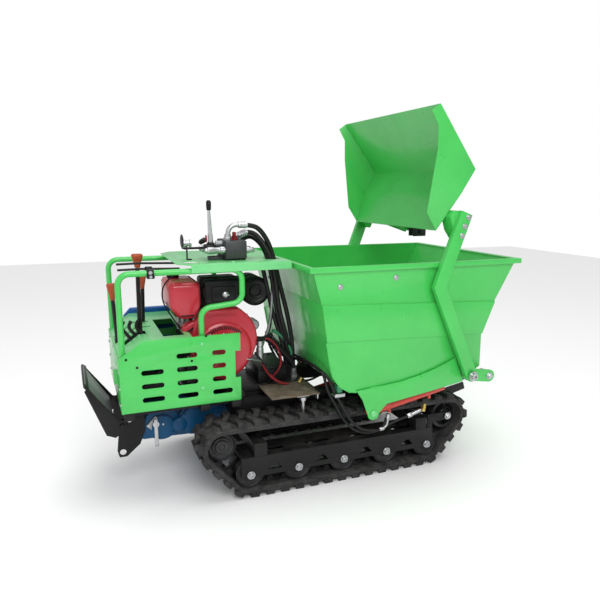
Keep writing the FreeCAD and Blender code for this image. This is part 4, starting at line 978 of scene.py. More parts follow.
def air_cleaner():
    """Moulded air cleaner: box, domed cover with a rim, and wing knob."""
    bm = bmesh.new()
    block(bm, at(-.596, -.120, .838), at(-.424, -.012, .962), 0.014, segments=3)
    block(bm, at(-.600, -.128, .834), at(-.420, -.116, .966), 0.005)
    block(bm, at(-.594, -.166, .840), at(-.426, -.124, .960), 0.018, segments=4)
    block(bm, at(-.560, -.172, .858), at(-.450, -.160, .926), 0.010, segments=3)
    for x in (-.588, -.430):
        block(bm, at(x - .007, -.158, .874), at(x + .007, -.112, .922), 0.003)
    settle("air_cleaner_case", bm, BLACK_PLASTIC, "chassis", ["air_cleaner"], 45)
    bm = bmesh.new()
    turned(bm, [(0.0, 0.0), (0.014, 0.0), (0.016, 0.002), (0.012, 0.006), (0.006, 0.008), (0.006, 0.016),
                (0.0, 0.016)], at(-.497, -.168, .889), (0, -1, 0), 20)
    block(bm, at(-.511, -.188, .886), at(-.483, -.178, .892), 0.0025)
    settle("air_cleaner_knob", bm, ZINC, "chassis")


def muffler():
    """Round silencer with pressed rings, a recessed outlet and its elbow."""
    bm = bmesh.new()
    turned(bm, [(0.0, 0.010), (0.022, 0.010), (0.024, 0.0), (0.030, -0.002), (0.034, 0.006), (0.050, 0.004),
                (0.054, 0.0), (0.064, 0.004), (0.0695, 0.012), (0.0695, 0.070), (0.066, 0.074),
                (0.066, 0.092), (0.0695, 0.096), (0.0695, 0.156), (0.064, 0.166), (0.030, 0.170),
                (0.0, 0.170)], at(-.336, -.108, .884), (0, 1, 0), 48)
    tube(bm, rounded([at(-.419, -.025, .884), at(-.400, -.025, .884), at(-.380, -.025, .884)], 3), 0.023, 20)
    plug(bm, 0.034, 0.008, at(-.419, -.025, .884), (1, 0, 0), 6)
    settle("muffler_drum", bm, BLACK, "chassis", ["muffler"], 40)


def fan_slot_shade():
    """Arc of cooling slots in the fan cover, as thin dark inlays: painted shade in place of the open slots.
    """
    bm = bmesh.new()
    for index in range(18):
        turn = math.radians(46 + 5.4 * index)
        out = Vector((math.cos(turn), 0, math.sin(turn)))
        along = Vector((-out.z, 0, out.x))
        middle = at(-.518, -.2105, .640) + out * 0.1060
        ring = []
        for y in (0.0, 0.004):
            for a, b in ((-1, -1), (1, -1), (1, 1), (-1, 1)):
                ring.append(bm.verts.new(middle + out * a * 0.0085 + along * b * 0.0030 + Vector((0, y, 0))))
        for face in ((0, 1, 2, 3), (7, 6, 5, 4), (0, 4, 5, 1), (1, 5, 6, 2), (2, 6, 7, 3), (3, 7, 4, 0)):
            bm.faces.new([ring[corner] for corner in face])
    bmesh.ops.recalc_face_normals(bm, faces=bm.faces)
    settle("fan_cover_slots", bm, BLACK_PLASTIC, "chassis")


def engine_shroud():
    """Pressed fan housing with its recoil starter, in red."""
    bm = bmesh.new()
    outline = [(-.640, .784), (-.602, .826), (-.440, .828), (-.394, .786), (-.368, .742), (-.358, .692),
               (-.363, .648), (-.384, .596), (-.420, .546), (-.470, .510), (-.520, .498), (-.570, .508),
               (-.620, .540), (-.655, .590), (-.668, .640), (-.672, .700)]
    prism(bm, outline, -.198, -.121, 0.012, segments=4)
    prism(bm, [(-.700, .737), (-.694, .757), (-.668, .772), (-.636, .782), (-.620, .760), (-.630, .700),
               (-.680, .700)], -.188, -.128, 0.006, segments=3)
    turned(bm, [(0.0, -0.010), (0.132, -0.010), (0.132, 0.000), (0.126, 0.006), (0.114, 0.0100),
                (0.096, 0.0125), (0.0, 0.0130)],
           at(-.520, -.198, .640), (0, -1, 0), 64)
    rib = [at(-.590, -.199, .800), at(-.540, -.199, .803), at(-.450, -.199, .800)]
    tube(bm, rounded(rib, 3), 0.0035, 10)
    settle("fan_housing", bm, RED, "chassis", ["engine_shroud"], 50)
    # Dark inlays as painted shade in the fan cover's slots.
    fan_slot_shade()
    out = (0, -1, 0)
    spots = [(at(x, -.199, z), out, 0.0085) for x, z in
             ((-.413, .795), (-.592, .742), (-.447, .742), (-.425, .684), (-.400, .600), (-.480, .524))]
    spots.append((at(-.680, -.189, .744), out, 0.008))
    fasteners("fan_housing_bolts", "chassis", spots, "hex", RED)


def cooling_fins():
    """Fins of the cylinder head, side by side around its core."""
    bm = bmesh.new()
    for index in range(9):
        x = -.592 + .018 * index
        block(bm, at(x, -.112, .724), at(x + .006, .112, .832), 0.0015)
    block(bm, at(-.600, -.100, .722), at(-.440, .106, .829), 0.003)
    settle("cylinder_fins", bm, IRON, "chassis", ["engine_head"])


def starter():
    """Starter motor with end caps, its solenoid, clamp and terminals."""
    bm = bmesh.new()
    turned(bm, [(0.0, 0.0), (0.020, 0.0), (0.024, 0.004), (0.036, 0.006), (0.0375, 0.010), (0.0375, 0.040),
                (0.0355, 0.042), (0.0355, 0.104), (0.0375, 0.106), (0.0375, 0.140), (0.033, 0.149),
                (0.0, 0.149)], at(-.400, -.089, .700), (0, 1, 0), 36)
    turned(bm, [(0.0, 0.0), (0.020, 0.0), (0.026, 0.006), (0.026, 0.060), (0.020, 0.068), (0.0, 0.068)],
           at(-.348, -.110, .724), (0, 1, 0), 28)
    settle("starter_housing", bm, ALLOY, "chassis", ["starter_motor"])
    bm = bmesh.new()
    turned(bm, [(0.0, 0.0), (0.016, 0.0), (0.018, 0.003), (0.018, 0.060), (0.014, 0.066), (0.014, 0.074),
                (0.019, 0.076), (0.019, 0.098), (0.0, 0.100)], at(-.332, -.140, .556), (0, 0, 1), 24)
    for x in (-.342, -.320):
        plug(bm, 0.005, 0.016, at(x, -.140, .653), (0, 0, 1), 10)
    settle("starter_solenoid", bm, ZINC, "chassis")
    bm = bmesh.new()
    tube(bm, rounded([at(-.392, -.140, .690), at(-.350, -.146, .668), at(-.305, -.140, .664),
                      at(-.268, -.128, .676)], 5), 0.011, 12)
    block(bm, at(-.352, -.150, .654), at(-.312, -.120, .668), 0.003)
    settle("solenoid_clamp", bm, BLACK_PLASTIC, "chassis")


def engine_details():
    """Engine and what is bolted to it."""
    fuel_tank()
    air_cleaner()
    muffler()
    engine_shroud()
    cooling_fins()
    starter()
    bm = bmesh.new()
    block(bm, at(-.688, -.118, .436), at(-.442, .148, .470), 0.006)
    block(bm, at(-.676, -.112, .468), at(-.446, .144, .690), 0.012)
    block(bm, at(-.660, -.106, .686), at(-.450, .136, .719), 0.008)
    for x in (-.640, -.480):
        block(bm, at(x - .022, -.120, .436), at(x + .022, .149, .452), 0.003)
    settle("crankcase", bm, IRON, "chassis", ["engine_block"])
    bm = bmesh.new()
    turned(bm, [(0.0, 0.0), (0.070, 0.0), (0.074, 0.004), (0.074, 0.020), (0.066, 0.024), (0.030, 0.024),
                (0.030, 0.040), (0.0, 0.040)], at(-.560, .149, .580), (0, 1, 0), 48)
    settle("flywheel_pulley", bm, IRON, "chassis")
    spots = [(at(x, -.1205, z), (0, -1, 0), 0.007) for x in (-.665, -.460) for z in (.520, .600, .660)]
    fasteners("crankcase_bolts", "chassis", spots)


# ------------------------------------------------------------------ control end
def valve_block():
    """Sectional valve: block with its ports, spool caps, knobs and foot."""
    bm = bmesh.new()
    block(bm, at(-.495, -.190, 1.050), at(-.400, -.020, 1.128), 0.004)
    for y in (-.135, -.080):
        block(bm, at(-.4965, y - .002, 1.049), at(-.3985, y + .002, 1.1295), 0.001)
    block(bm, at(-.560, -.146, 1.044), at(-.494, -.100, 1.058), 0.003)
    plug(bm, 0.0075, 0.004, at(-.447, -.190, 1.086), (0, -1, 0), 18)
    settle("valve_castings", bm, VALVE_GREY, "chassis", ["control_valve"])
    bm = bmesh.new()
    block(bm, at(-.500, -.178, 1.0435), at(-.402, -.030, 1.054), 0.002)
    turned(bm, [(0.0, 0.0), (0.018, 0.0), (0.021, 0.006), (0.021, 0.012), (0.014, 0.018), (0.0, 0.018)],
           at(-.573, -.100, 1.118), (-0.5, 0, 0.86), 20)
    for y, low, high in ((-.190, 1.098, 1.108), (-.150, 1.096, 1.104)):
        block(bm, at(-.680, y - .005, low), at(-.584, y + .005, high), 0.003)
    block(bm, at(-.580, -.150, 1.080), at(-.528, -.110, 1.112), 0.006)
    settle("valve_black_links", bm, BLACK_PLASTIC, "chassis")
    bm = bmesh.new()
    for y in (-.166, -.108, -.052):
        turned(bm, [(0.0, 0.0), (0.011, 0.0), (0.012, 0.003), (0.012, 0.010), (0.0155, 0.013),
                    (0.0155, 0.040),
                    (0.0135, 0.043), (0.0135, 0.066), (0.0165, 0.069), (0.0165, 0.090), (0.010, 0.092),
                    (0.010, 0.100), (0.0, 0.100)], at(-.5845, y, 1.0875), (1, 0, 0), 24)
        turned(bm, [(0.0, 0.0), (0.015, 0.0), (0.015, 0.014), (0.012, 0.016), (0.012, 0.036), (0.009, 0.040),
                    (0.0, 0.040)], at(-.400, y, 1.085), (1, 0, 0), 24)
    plug(bm, 0.014, 0.012, at(-.446, -.052, 1.121), (0, 0, 1), 6)
    settle("valve_spool_caps", bm, ZINC, "chassis")
    bm = bmesh.new()
    turned(bm, [(0.0, 0.0), (0.014, 0.0), (0.014, 0.036), (0.010, 0.040), (0.0, 0.040)],
           at(-.524, -.118, 1.112), (1, 0, 0), 20)
    settle("valve_relief_cap", bm, ALLOY, "chassis")


def valve_stalk():
    """Chromed valve lever, thicker at its foot, with a black grip."""
    bm = bmesh.new()
    turned(bm, [(0.0, 0.0), (0.0115, 0.0), (0.0115, 0.030), (0.0095, 0.050), (0.0075, 0.110), (0.0060, 0.150),
                (0.0, 0.150)], at(-.549, -.130, 1.118), (-0.03, 0, 1), 20)
    settle("valve_stalk", bm, CHROME, "chassis", ["valve_lever"])
    bm = bmesh.new()
    turned(bm, [(0.0, 0.0), (0.008, 0.0), (0.010, 0.004), (0.011, 0.020), (0.0108, 0.036), (0.007, 0.043),
                (0.0, 0.044)], at(-.553, -.130, 1.260), (0, 0, 1), 20)
    turned(bm, [(0.0, 0.0), (0.016, 0.0), (0.018, 0.006), (0.018, 0.020), (0.012, 0.026), (0.0, 0.026)],
           at(-.549, -.130, 1.096), (0, 0, 1), 20)
    settle("valve_stalk_grip", bm, BLACK_PLASTIC, "chassis")
    bm = bmesh.new()
    block(bm, at(-.570, -.126, 1.120), at(-.563, -.114, 1.152), 0.003)
    settle("valve_lock_tab", bm, RED_WIRE, "chassis")


def throttle_set():
    """Throttle lever: dark quadrant disc, bright hub and the bracket it stands on."""
    bm = bmesh.new()
    turned(bm, [(0.0, 0.0), (0.024, 0.0), (0.030, 0.002), (0.030, 0.006), (0.024, 0.008), (0.0, 0.008)],
           at(-.674, -.100, 1.126), (1, 0, 0), 32)
    block(bm, at(-.652, -.116, 1.0435), at(-.630, -.084, 1.0475), 0.001)
    block(bm, at(-.652, -.110, 1.046), at(-.648, -.090, 1.104), 0.001)
    settle("throttle_disc", bm, BLACK_PLASTIC, "chassis", ["throttle"])
    bm = bmesh.new()
    turned(bm, [(0.0, 0.0), (0.016, 0.0), (0.0165, 0.010), (0.0135, 0.012), (0.0135, 0.026), (0.0165, 0.028),
                (0.0165, 0.036), (0.0, 0.036)], at(-.666, -.100, 1.116), (1, 0, 0), 24)
    settle("throttle_hub", bm, ZINC, "chassis")


LEVERS = (((-.873, -.111, .735), (-.866, -.111, 1.020), 0.058, 0.025),
          ((-.838, .085, .735), (-.829, .085, .886), 0.075, 0.017),
          ((-.955, -.024, .690), (-.970, -.024, .868), 0.075, 0.021))


def shift_levers():
    """Flat steel levers through slots in the hood, with moulded grips and spring clips."""
    bars, grips = bmesh.new(), bmesh.new()
    for foot, top, long, wide in LEVERS:
        low, high = at(*foot), at(*top)
        low.z -= 0.130
        aim = (high - low).normalized()
        tube(bars, [low, low.lerp(high, 0.5), high + aim * 0.01], 0.0090, 8)
        side = Vector((0, 1, 0))
        tube(bars, [low.lerp(high, 0.30), low.lerp(high, 0.44)], 0.0120, 8)
        ring = []
        ahead = aim.cross(side).normalized()
        for spot, scale in ((0.0, 0.55), (0.30, 0.72), (0.88, 1.20), (1.0, 1.05)):
            centre = high + aim * long * spot
            ring.append([grips.verts.new(centre + (ahead * a * 1.0 + side * b * 0.9) * wide * scale * 0.8)
                         for a, b in ((-1, -.5), (-.5, -1), (.5, -1), (1, -.5), (1, .5), (.5, 1), (-.5, 1),
                                      (-1, .5))])
        for lower, upper in zip(ring, ring[1:]):
            for step in range(8):
                following = (step + 1) % 8
                grips.faces.new((lower[step], lower[following], upper[following], upper[step]))
        grips.faces.new(ring[0][::-1])
        grips.faces.new(ring[-1])
    bmesh.ops.recalc_face_normals(grips, faces=grips.faces)
    bmesh.ops.bevel(grips, geom=list(grips.edges), offset=0.0015, segments=2, profile=0.5, affect="EDGES")
    settle("lever_bars", bars, BLACK, "chassis", ["shift_levers"])
    settle("lever_grips", grips, GRIP, "chassis")
    bm = bmesh.new()
    for shift in (0.0, 0.030, 0.060):
        tube(bm, rounded([at(-.915 + shift, -.133, .560), at(-.912 + shift, -.133, .700),
                          at(-.946 + shift, -.130, .760), at(-.938 + shift, -.128, .792)], 4), 0.0075, 8)
    for y, z in ((-.140, 1.040), (-.190, 1.022)):
        tube(bm, [at(-.955, y, z), at(-.860, y - .004, z + .002), at(-.700, y, z - .004)], 0.0048, 10)
    settle("deck_link_rods", bm, BLACK, "chassis")


def clamp_on_tube():
    """Clamp and hooks on the near frame tube."""
    bm = bmesh.new()
    turned(bm, [(0.0, 0.0), (0.019, 0.0), (0.020, 0.002), (0.020, 0.026), (0.019, 0.028), (0.0, 0.028)],
           at(-.848, -.270, 1.0145), (1, 0, 0), 24)
    block(bm, at(-.850, -.296, .994), at(-.818, -.266, 1.010), 0.004)
    block(bm, at(-.852, -.262, 1.020), at(-.822, -.244, 1.040), 0.004)
    settle("tube_clamp", bm, BLACK_PLASTIC, "chassis")
    fasteners("tube_clamp_bolts", "chassis",
              [(at(-.834, -.2905, 1.018), (0, -1, 0), 0.008), (at(-.834, -.2962, 1.002), (0, -1, 0), 0.006)])


def panel_fixings():
    """Bolts and holes on the body panels."""
    for letter, side in SIDES:
        out = (0, side, 0)
        face = side * .3002
        spots = [(at(x, face, z), out, 0.008) for x, z in ((-.637, .705), (-.640, .508))]
        # Bolt heads in the lighter green: painted highlight.
        fasteners(f"panel_bolts_{letter}", "chassis", spots, "rivet", GREEN_PAINTED_LIGHT)
        # Black domes in the panel holes: painted shade for the open holes.
        holes = [(at(x, side * .3001, z), out, 0.0055)
                 for x, z in ((-.951, .667), (-.909, .629), (-.683, .635), (-.619, .739))]
        fasteners(f"panel_plugs_{letter}", "chassis", holes, "rivet", BLACK_PLASTIC)
        frets = [(at(x, side * .293, .7392), (0, 0, 1), 0.006) for x in (-.600, -.540)]
        fasteners(f"flange_bolts_{letter}", "chassis", frets)
    back = (-1, 0, 0)
    rows = [(at(-.9803, y, z), back, 0.0065) for y in (-.285, .285) for z in (.470, .540, .610)]
    rows += [(at(-.9803, y, .655), back, 0.0065) for y in (-.200, 0.0, .200)]
    fasteners("rear_panel_bolts", "chassis", rows)
    # Deck bolt heads in the lighter green: painted sunlight.
    fasteners("deck_bolts", "chassis",
              [(at(x, y, 1.0432), (0, 0, 1), 0.009) for x in (-.620, -.480) for y in (-.250, .250)],
              "rivet", GREEN_PAINTED_LIGHT)


def gearbox_details():
    """Castings, covers and bolts of the gearbox."""
    bm = bmesh.new()
    turned(bm, [(0.0, 0.0), (0.036, 0.0), (0.036, 0.012), (0.030, 0.018), (0.012, 0.020), (0.0, 0.020)],
           at(-.722, -.148, .300), (0, -1, 0), 36)
    turned(bm, [(0.0, 0.0), (0.052, 0.0), (0.054, 0.003), (0.054, 0.010), (0.044, 0.014), (0.0, 0.014)],
           at(-.800, -.150, .300), (0, -1, 0), 40)
    turned(bm, [(0.0, 0.0), (0.060, 0.0), (0.062, 0.003), (0.062, 0.012), (0.050, 0.016), (0.0, 0.016)],
           at(-.660, -.148, .310), (0, -1, 0), 40)
    prism(bm, [(-.900, .240), (-.905, .345), (-.870, .372), (-.560, .376), (-.540, .340), (-.556, .262),
               (-.640, .232)], -.132, .132, 0.010, segments=3)
    for x in (-.760, -.690, -.600):
        block(bm, at(x - .004, -.146, .256), at(x + .004, .146, .366), 0.002)
    block(bm, at(-.610, -.160, .330), at(-.520, -.120, .372), 0.008)
    settle("gearbox_castings", bm, BLUE, "chassis", smooth=45)
    spots = []
    for x, z, reach, count in ((-.800, .300, .048, 6), (-.660, .310, .055, 6)):
        for index in range(count):
            turn = math.tau * index / count + 0.3
            spots.append((at(x + reach * math.cos(turn), -.1615, z + reach * math.sin(turn)),
                          (0, -1, 0), 0.007))
    fasteners("gearbox_bolts", "chassis", spots, "hex", BLUE)
    bm = bmesh.new()
    block(bm, at(-.838, -.1745, .218), at(-.822, -.170, .344), 0.002)
    plug(bm, 0.014, 0.012, at(-.830, -.162, .320), (0, -1, 0), 20)
    settle("gear_arm", bm, ZINC, "chassis")
    fasteners("flange_screws", "chassis",
              [(at(x, -.1625, z), (0, -1, 0), 0.007) for x, z in ((-.862, .314), (-.798, .314))])


def tray_and_battery():
    """Battery with lid and terminals; bolt under the tray and its fitting."""
    bm = bmesh.new()
    x0, x1, y0, y1 = -.338, -.192, -.128, .108
    block(bm, at(x0, y0, .438), at(x1, y1, .500), 0.006)
    block(bm, at(x0 - .001, y0 - .001, .498), at(x1 + .001, y1 + .001, .520), 0.005)
    for y in (y0 + .030, y1 - .030):
        turned(bm, [(0.0, 0.0), (0.008, 0.0), (0.007, 0.003), (0.0, 0.003)], at(-.220, y, .520),
               (0, 0, 1), 16)
    settle("battery_case", bm, BLACK_PLASTIC, "chassis", ["battery"])
    bm = bmesh.new()
    turned(bm, [(0.0, 0.0), (0.0090, 0.0), (0.0090, 0.018), (0.018, 0.019), (0.018, 0.034), (0.0, 0.034)],
           at(-.186, -.330, .386), (0, 0, 1), 6)
    plug(bm, 0.0090, 0.050, at(-.186, -.330, .345), (0, 0, 1), 16)
    block(bm, at(-.220, -.346, .4245), at(-.160, -.320, .4295), 0.0015)
    block(bm, at(-.120, -.340, .404), at(-.112, -.300, .436), 0.002)
    settle("track_tension_bolt", bm, ZINC, "chassis")
    bm = bmesh.new()
    turned(bm, [(0.0, 0.0), (0.010, 0.0), (0.010, 0.012), (0.0075, 0.014), (0.0075, 0.026), (0.0, 0.026)],
           at(-.150, -.182, .440), (0.5, 0, 0.86), 6)
    settle("drain_fitting", bm, BRASS, "chassis")
    bm = bmesh.new()
    tube(bm, rounded([at(-.260, -.115, .690), at(-.236, -.112, .678), at(-.200, -.110, .640),
                      at(-.166, -.108, .585), at(-.158, -.106, .560)], 6), 0.0085, 12)
    settle("green_coupling_hose", bm, GREEN_HOSE, "chassis")
    bm = bmesh.new()
    tube(bm, rounded([at(-.292, -.120, .660), at(-.246, -.118, .620), at(-.190, -.112, .560),
                      at(-.156, -.108, .520)], 5), 0.017, 16)
    settle("return_hose", bm, HOSE, "chassis")


def drive_line():
    """Belt pulley, tension arm and cross shaft between the body panels."""
    bm = bmesh.new()
    turned(bm, [(0.0, 0.0), (0.030, 0.0), (0.034, 0.006), (0.082, 0.006), (0.088, 0.0), (0.092, 0.002),
                (0.084, 0.012), (0.092, 0.022), (0.084, 0.032), (0.092, 0.042), (0.088, 0.046),
                (0.034, 0.040), (0.030, 0.052), (0.0, 0.052)], at(-.800, .150, .548), (0, 1, 0), 48)
    plug(bm, 0.016, 0.330, at(-.800, -.140, .548), (0, 1, 0), 20)
    block(bm, at(-.868, -.118, .436), at(-.708, -.098, .574), 0.010)
    block(bm, at(-.858, -.050, .436), at(-.724, .120, .520), 0.014)
    block(bm, at(-.905, -.190, .470), at(-.868, .200, .492), 0.004)
    tube(bm, [at(-.888, -.180, .480), at(-.760, -.150, .610), at(-.700, -.150, .640)], 0.009, 10)
    tube(bm, [at(-.905, -.060, .700), at(-.880, -.060, .580), at(-.840, -.080, .500)], 0.007, 10)
    settle("drive_pulley_and_links", bm, IRON, "chassis")
    bm = bmesh.new()
    for y in (-.137, .131):
        block(bm, at(-.436, y, .352), at(-.125, y + .006, .402), 0.001)
    block(bm, at(-.470, -.230, .404), at(-.436, .230, .4335), 0.002)
    settle("stand_skirts", bm, BLACK, "chassis")


# ------------------------------------------------------------------ step
def lozenge(turn):
    """Raised lozenge of tread plate, turned in the plate's plane, on the leaning face of the step."""
    bm = bmesh.new()
    along = Vector((-.107, 0, .167)).normalized()
    across = Vector((0, 1, 0))
    normal = Vector((-along.z, 0, along.x))
    one = along * math.cos(turn) + across * math.sin(turn)
    two = across * math.cos(turn) - along * math.sin(turn)
    ring = [bm.verts.new(one * a + two * b) for a, b in ((.011, 0), (0, .0028), (-.011, 0), (0, -.0028))]
    top = [bm.verts.new(one * a + two * b + normal * .0014) for a, b in ((.006, 0), (0, .0012), (-.006, 0),
                                                                       (0, -.0012))]
    for spot in range(4):
        following = (spot + 1) % 4
        bm.faces.new((ring[spot], ring[following], top[following], top[spot]))
    bm.faces.new(top)
    bm.faces.new(ring[::-1])
    bmesh.ops.recalc_face_normals(bm, faces=bm.faces)
    return hidden_object(f"tread_lozenge_{turn:.1f}", bm)


def step_details():
    """Grey tread plate on the folding step, with its pivot bolts."""
    skinned("foot_step", BLACK, 0.001)
    skinned("step_bracket", BLACK, 0.001)
    bm = bmesh.new()
    half = .143
    prism(bm, [(-1.0150, .3655), (-1.0135, .3665), (-1.1205, .5335), (-1.1220, .5325)], -half, half, 0.0004)
    prism(bm, [(-1.0065, .3690), (-1.0050, .3700), (-1.1120, .5370), (-1.1135, .5360)], -half, half, 0.0004)
    settle("step_tread_sheet", bm, TREAD_PAINT, "step_body")
    along = Vector((-.107, 0, .167))
    for label, turn, shift in (("a", 0.785, 0.0), ("b", -0.785, 0.5)):
        spots = []
        for row in range(9):
            for column in range(13):
                part = (row + 0.5 + shift * 0.5) / 9.4
                y = -.132 + .022 * (column + shift)
                if y < .136:
                    spots.append((at(-1.1135 + .107, y, .3700) + along * part
                                  + Vector((-.0088, 0, -.0045)), (0, 0, 1), 1.0))
        HEADS[label] = lozenge(turn)
        fasteners(f"tread_lozenges_{label}", "step_body", spots, label, TREAD_PAINT)
    for letter, side in SIDES:
        fasteners(f"step_bolts_{letter}", "chassis",
                  [(at(-.942, side * .1625, .352), (0, side, 0), 0.009),
                   (at(-.905, side * .1625, .385), (0, side, 0), 0.009)])


# ------------------------------------------------------------------ hopper, arms and shovel
def load_end_fixings():
    """Bolts of the hopper, the lift arms, their pivots and the shovel's brackets."""
    for letter, side in SIDES:
        out = (0, side, 0)
        fasteners(f"hopper_bolts_{letter}", "hopper_body",
                  [(at(x, side * .4482, z), out, 0.013) for x, z in ((-.059, .940), (.213, .968))])
        fasteners(f"arm_pivot_bolts_{letter}", "hopper_body",
                  [(at(.624, side * .5062, .476), out, 0.024)], "socket")
        # Pin bolt head in the lighter green: painted highlight.
        fasteners(f"ram_pin_bolts_{letter}", "hopper_body",
                  [(at(.114, side * .4602, .340), out, 0.017)], "rivet", GREEN_PAINTED_LIGHT)
        fasteners(f"arm_bolts_{letter}", "loader_arms",
                  [(at(x, side * .4985, z), out, 0.013) for x, z in ((.549, 1.232), (.532, 1.192),
                                                                     (.520, 1.150))]
                  + [(at(.740, side * .4825, .458), out, 0.018)])
    fasteners("hopper_back_bolt", "hopper_body", [(at(-.172, .197, .900), (-1, 0, -.1), 0.012)])
    bm = bmesh.new()
    for y in (-.115, -.075):
        block(bm, at(.500, y, 1.120), at(.575, y + .010, 1.165), 0.004)
    plug(bm, 0.009, 0.080, at(.540, -.130, 1.142), (0, 1, 0), 18)
    settle("shovel_latch", bm, IRON, "loader_arms")


def weld(bm, start, stop, radius=0.003, step=0.006):
    """Rippled fillet weld along a straight seam."""
    start, stop = at(*start), at(*stop)
    count = max(3, int((stop - start).length / step))
    path = [start.lerp(stop, spot / count) for spot in range(count + 1)]
    tube(bm, path, [radius * (1.0 + 0.22 * (spot % 2)) for spot in range(count + 1)], 6)


def welds():
    """Weld seams where plates and tubes meet."""
    bm = bmesh.new()
    for _, side in SIDES:
        y = side * .4485
        for a, b in (((-.146, .865), (.766, .825)), ((-.122, .700), (.702, .670))):
            weld(bm, (a[0] + .01, y, a[1]), (b[0] - .01, y, b[1]), 0.0032)
        for a, b in (((-.005, .455), (-.055, .487)), ((-.055, .487), (-.089, .534)),
                     ((-.089, .534), (-.105, .596)), ((-.105, .596), (-.122, .695))):
            weld(bm, (a[0], side * .446, a[1]), (b[0], side * .446, b[1]), 0.0030)
    settle("hopper_welds", bm, GREEN, "hopper_body")


def drive_guard():
    """Belt guard on the left: blue cover with vents and bolts."""
    skinned("belt_guard", BLUE_GUARD, 0.006, 3)
    spots = [(at(x, .3405, z), (0, 1, 0), 0.010) for x, z in
             ((-.885, .470), (-.885, .700), (-.700, .745), (-.672, .480), (-.670, .700))]
    fasteners("guard_bolts", "chassis", spots)
    bm = bmesh.new()
    for row in range(5):
        z = .520 + .038 * row
        block(bm, at(-.850, .3400, z), at(-.720, .3440, z + .012), 0.0015)
    settle("guard_louvres", bm, BLUE_GUARD, "chassis")


# ------------------------------------------------------------------ stage, light and camera
SOFT_LIGHTS = (("key", (-0.6, -4.2, 3.6), 118, 2.4),
               ("fill", (-3.8, -1.4, 2.6), 22, 3.0),
               ("top", (0.6, 0.4, 4.8), 30, 4.0))
LIT_PLACE = Vector((0, 0, 0.6))
FLOOR_HALF = 9
CAMERA_PLACE = Vector((-1.0241, -2.7557, 1.3557))


def stage():
    """Pale floor, an even white surround, three soft lights and an even light from above."""
    mesh = bpy.data.meshes.new("floor")
    corners = [(x * FLOOR_HALF, y * FLOOR_HALF, 0) for x, y in ((-1, -1), (1, -1), (1, 1), (-1, 1))]
    mesh.from_pydata(corners, [], [(0, 1, 2, 3)])
    floor = bpy.data.objects.new("floor", mesh)
    bpy.context.scene.collection.objects.link(floor)
    pale = bpy.data.materials.new("pale_floor")
    pale.use_nodes = True
    shader = pale.node_tree.nodes["Principled BSDF"]
    shader.inputs["Base Color"].default_value = (0.93, 0.93, 0.93, 1)
    shader.inputs["Roughness"].default_value = 0.9
    mesh.materials.append(pale)
    bpy.context.scene.view_settings.view_transform = "Standard"
    world = bpy.data.worlds.new("studio")
    bpy.context.scene.world = world
    world.use_nodes = True
    sky = world.node_tree.nodes["Background"]
    sky.inputs["Color"].default_value = (1, 1, 1, 1)
    seen = world.node_tree.nodes.new("ShaderNodeLightPath").outputs["Is Camera Ray"]
    level = world.node_tree.nodes.new("ShaderNodeMapRange")
    level.inputs["To Min"].default_value = 0.50
    level.inputs["To Max"].default_value = 1.0
    world.node_tree.links.new(seen, level.inputs["Value"])
    world.node_tree.links.new(level.outputs["Result"], sky.inputs["Strength"])
    for name, place, power, size in SOFT_LIGHTS:
        light = bpy.data.lights.new(name, "AREA")
        light.energy = power
        light.size = size
        lamp = bpy.data.objects.new(name, light)
        lamp.location = place
        lamp.rotation_euler = (LIT_PLACE - Vector(place)).to_track_quat("-Z", "Y").to_euler()
        bpy.context.scene.collection.objects.link(lamp)
    sky_light = bpy.data.lights.new("even_overhead", "SUN")
    sky_light.energy = 1.15
    sky_light.angle = 0.9
    overhead = bpy.data.objects.new("even_overhead", sky_light)
    overhead.rotation_euler = (-0.10, 0.15, 0)
    bpy.context.scene.collection.objects.link(overhead)


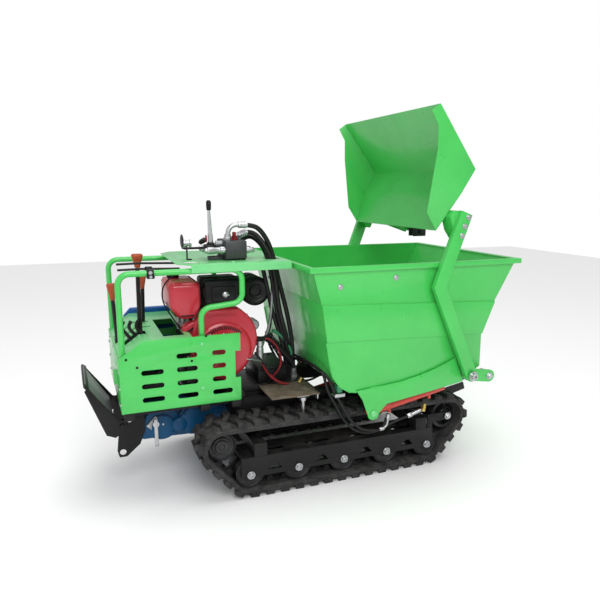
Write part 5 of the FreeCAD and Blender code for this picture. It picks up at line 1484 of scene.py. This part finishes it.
def camera():
    """Camera at the dumper's right rear, slightly above its hopper."""
    yaw, pitch, roll = 0.3887, 0.2130, 0.0055
    data = bpy.data.cameras.new("camera")
    data.sensor_width = 36
    data.lens = 35.78
    data.shift_x = -0.0210
    data.shift_y = 0.0292
    lens = bpy.data.objects.new("camera", data)
    right = Vector((math.cos(yaw), -math.sin(yaw), 0))
    ahead = Vector((math.sin(yaw) * math.cos(pitch), math.cos(yaw) * math.cos(pitch), -math.sin(pitch)))
    up = right.cross(ahead)
    tilted = right * math.cos(roll) + up * math.sin(roll)
    upright = up * math.cos(roll) - right * math.sin(roll)
    turn = Matrix((tilted, upright, -ahead)).transposed().to_4x4()
    lens.matrix_world = Matrix.Translation(CAMERA_PLACE) @ turn
    bpy.context.scene.collection.objects.link(lens)
    bpy.context.scene.camera = lens


PLAIN = {
    "side_panel_R": (GREEN, 0.0008), "side_panel_L": (GREEN, 0.0008), "rear_panel": (GREEN, 0.0008),
    # The deck and console use the lighter green: painted sunlight on their tops.
    "console_cover": (GREEN_PAINTED_LIGHT, 0.0008), "control_deck": (GREEN_PAINTED_LIGHT, 0.001),
    "hopper": (GREEN, 0.0012), "shovel": (GREEN, 0.0012),
    "cylinder_bracket_R": (GREEN, 0.001), "cylinder_bracket_L": (GREEN, 0.001),
    "arm_pivot_R": (ZINC, 0.001), "arm_pivot_L": (ZINC, 0.001),
    "lift_arm_R": (GREEN, 0.003), "lift_arm_L": (GREEN, 0.003),
    "frame_tube_R": (GREEN, 0.0005), "frame_tube_L": (GREEN, 0.0005),
    "lift_barrel_R": (RED_RAM, 0.0015), "lift_barrel_L": (RED_RAM, 0.0015),
    "lift_rod_R": (CHROME, 0.001), "lift_rod_L": (CHROME, 0.001),
    "tip_barrel": (RED_RAM, 0.0015), "tip_rod": (CHROME, 0.001),
    "chassis_frame": (BLACK, 0.002), "crossbeams": (BLACK, 0.002), "hopper_rests": (BLACK, 0.002),
    "drive_axle": (IRON, 0.001), "gearbox": (BLUE, 0.004), "gear_flange": (ALLOY, 0.002),
    "battery_tray": (PRIMER, 0.0008), "battery_stand": (BLACK, 0.002),
}

undercarriage()
for node_name, (finish, edge) in PLAIN.items():
    skinned(node_name, finish, edge)
valve_hose_set()
for letter, side in SIDES:
    lift_hose_set(letter, side)
cables()
engine_details()
valve_block()
valve_stalk()
throttle_set()
shift_levers()
clamp_on_tube()
panel_fixings()
gearbox_details()
tray_and_battery()
drive_line()
step_details()
load_end_fixings()
welds()
drive_guard()
stage()
camera()
for source in SOURCES:
    bpy.data.objects.remove(source)
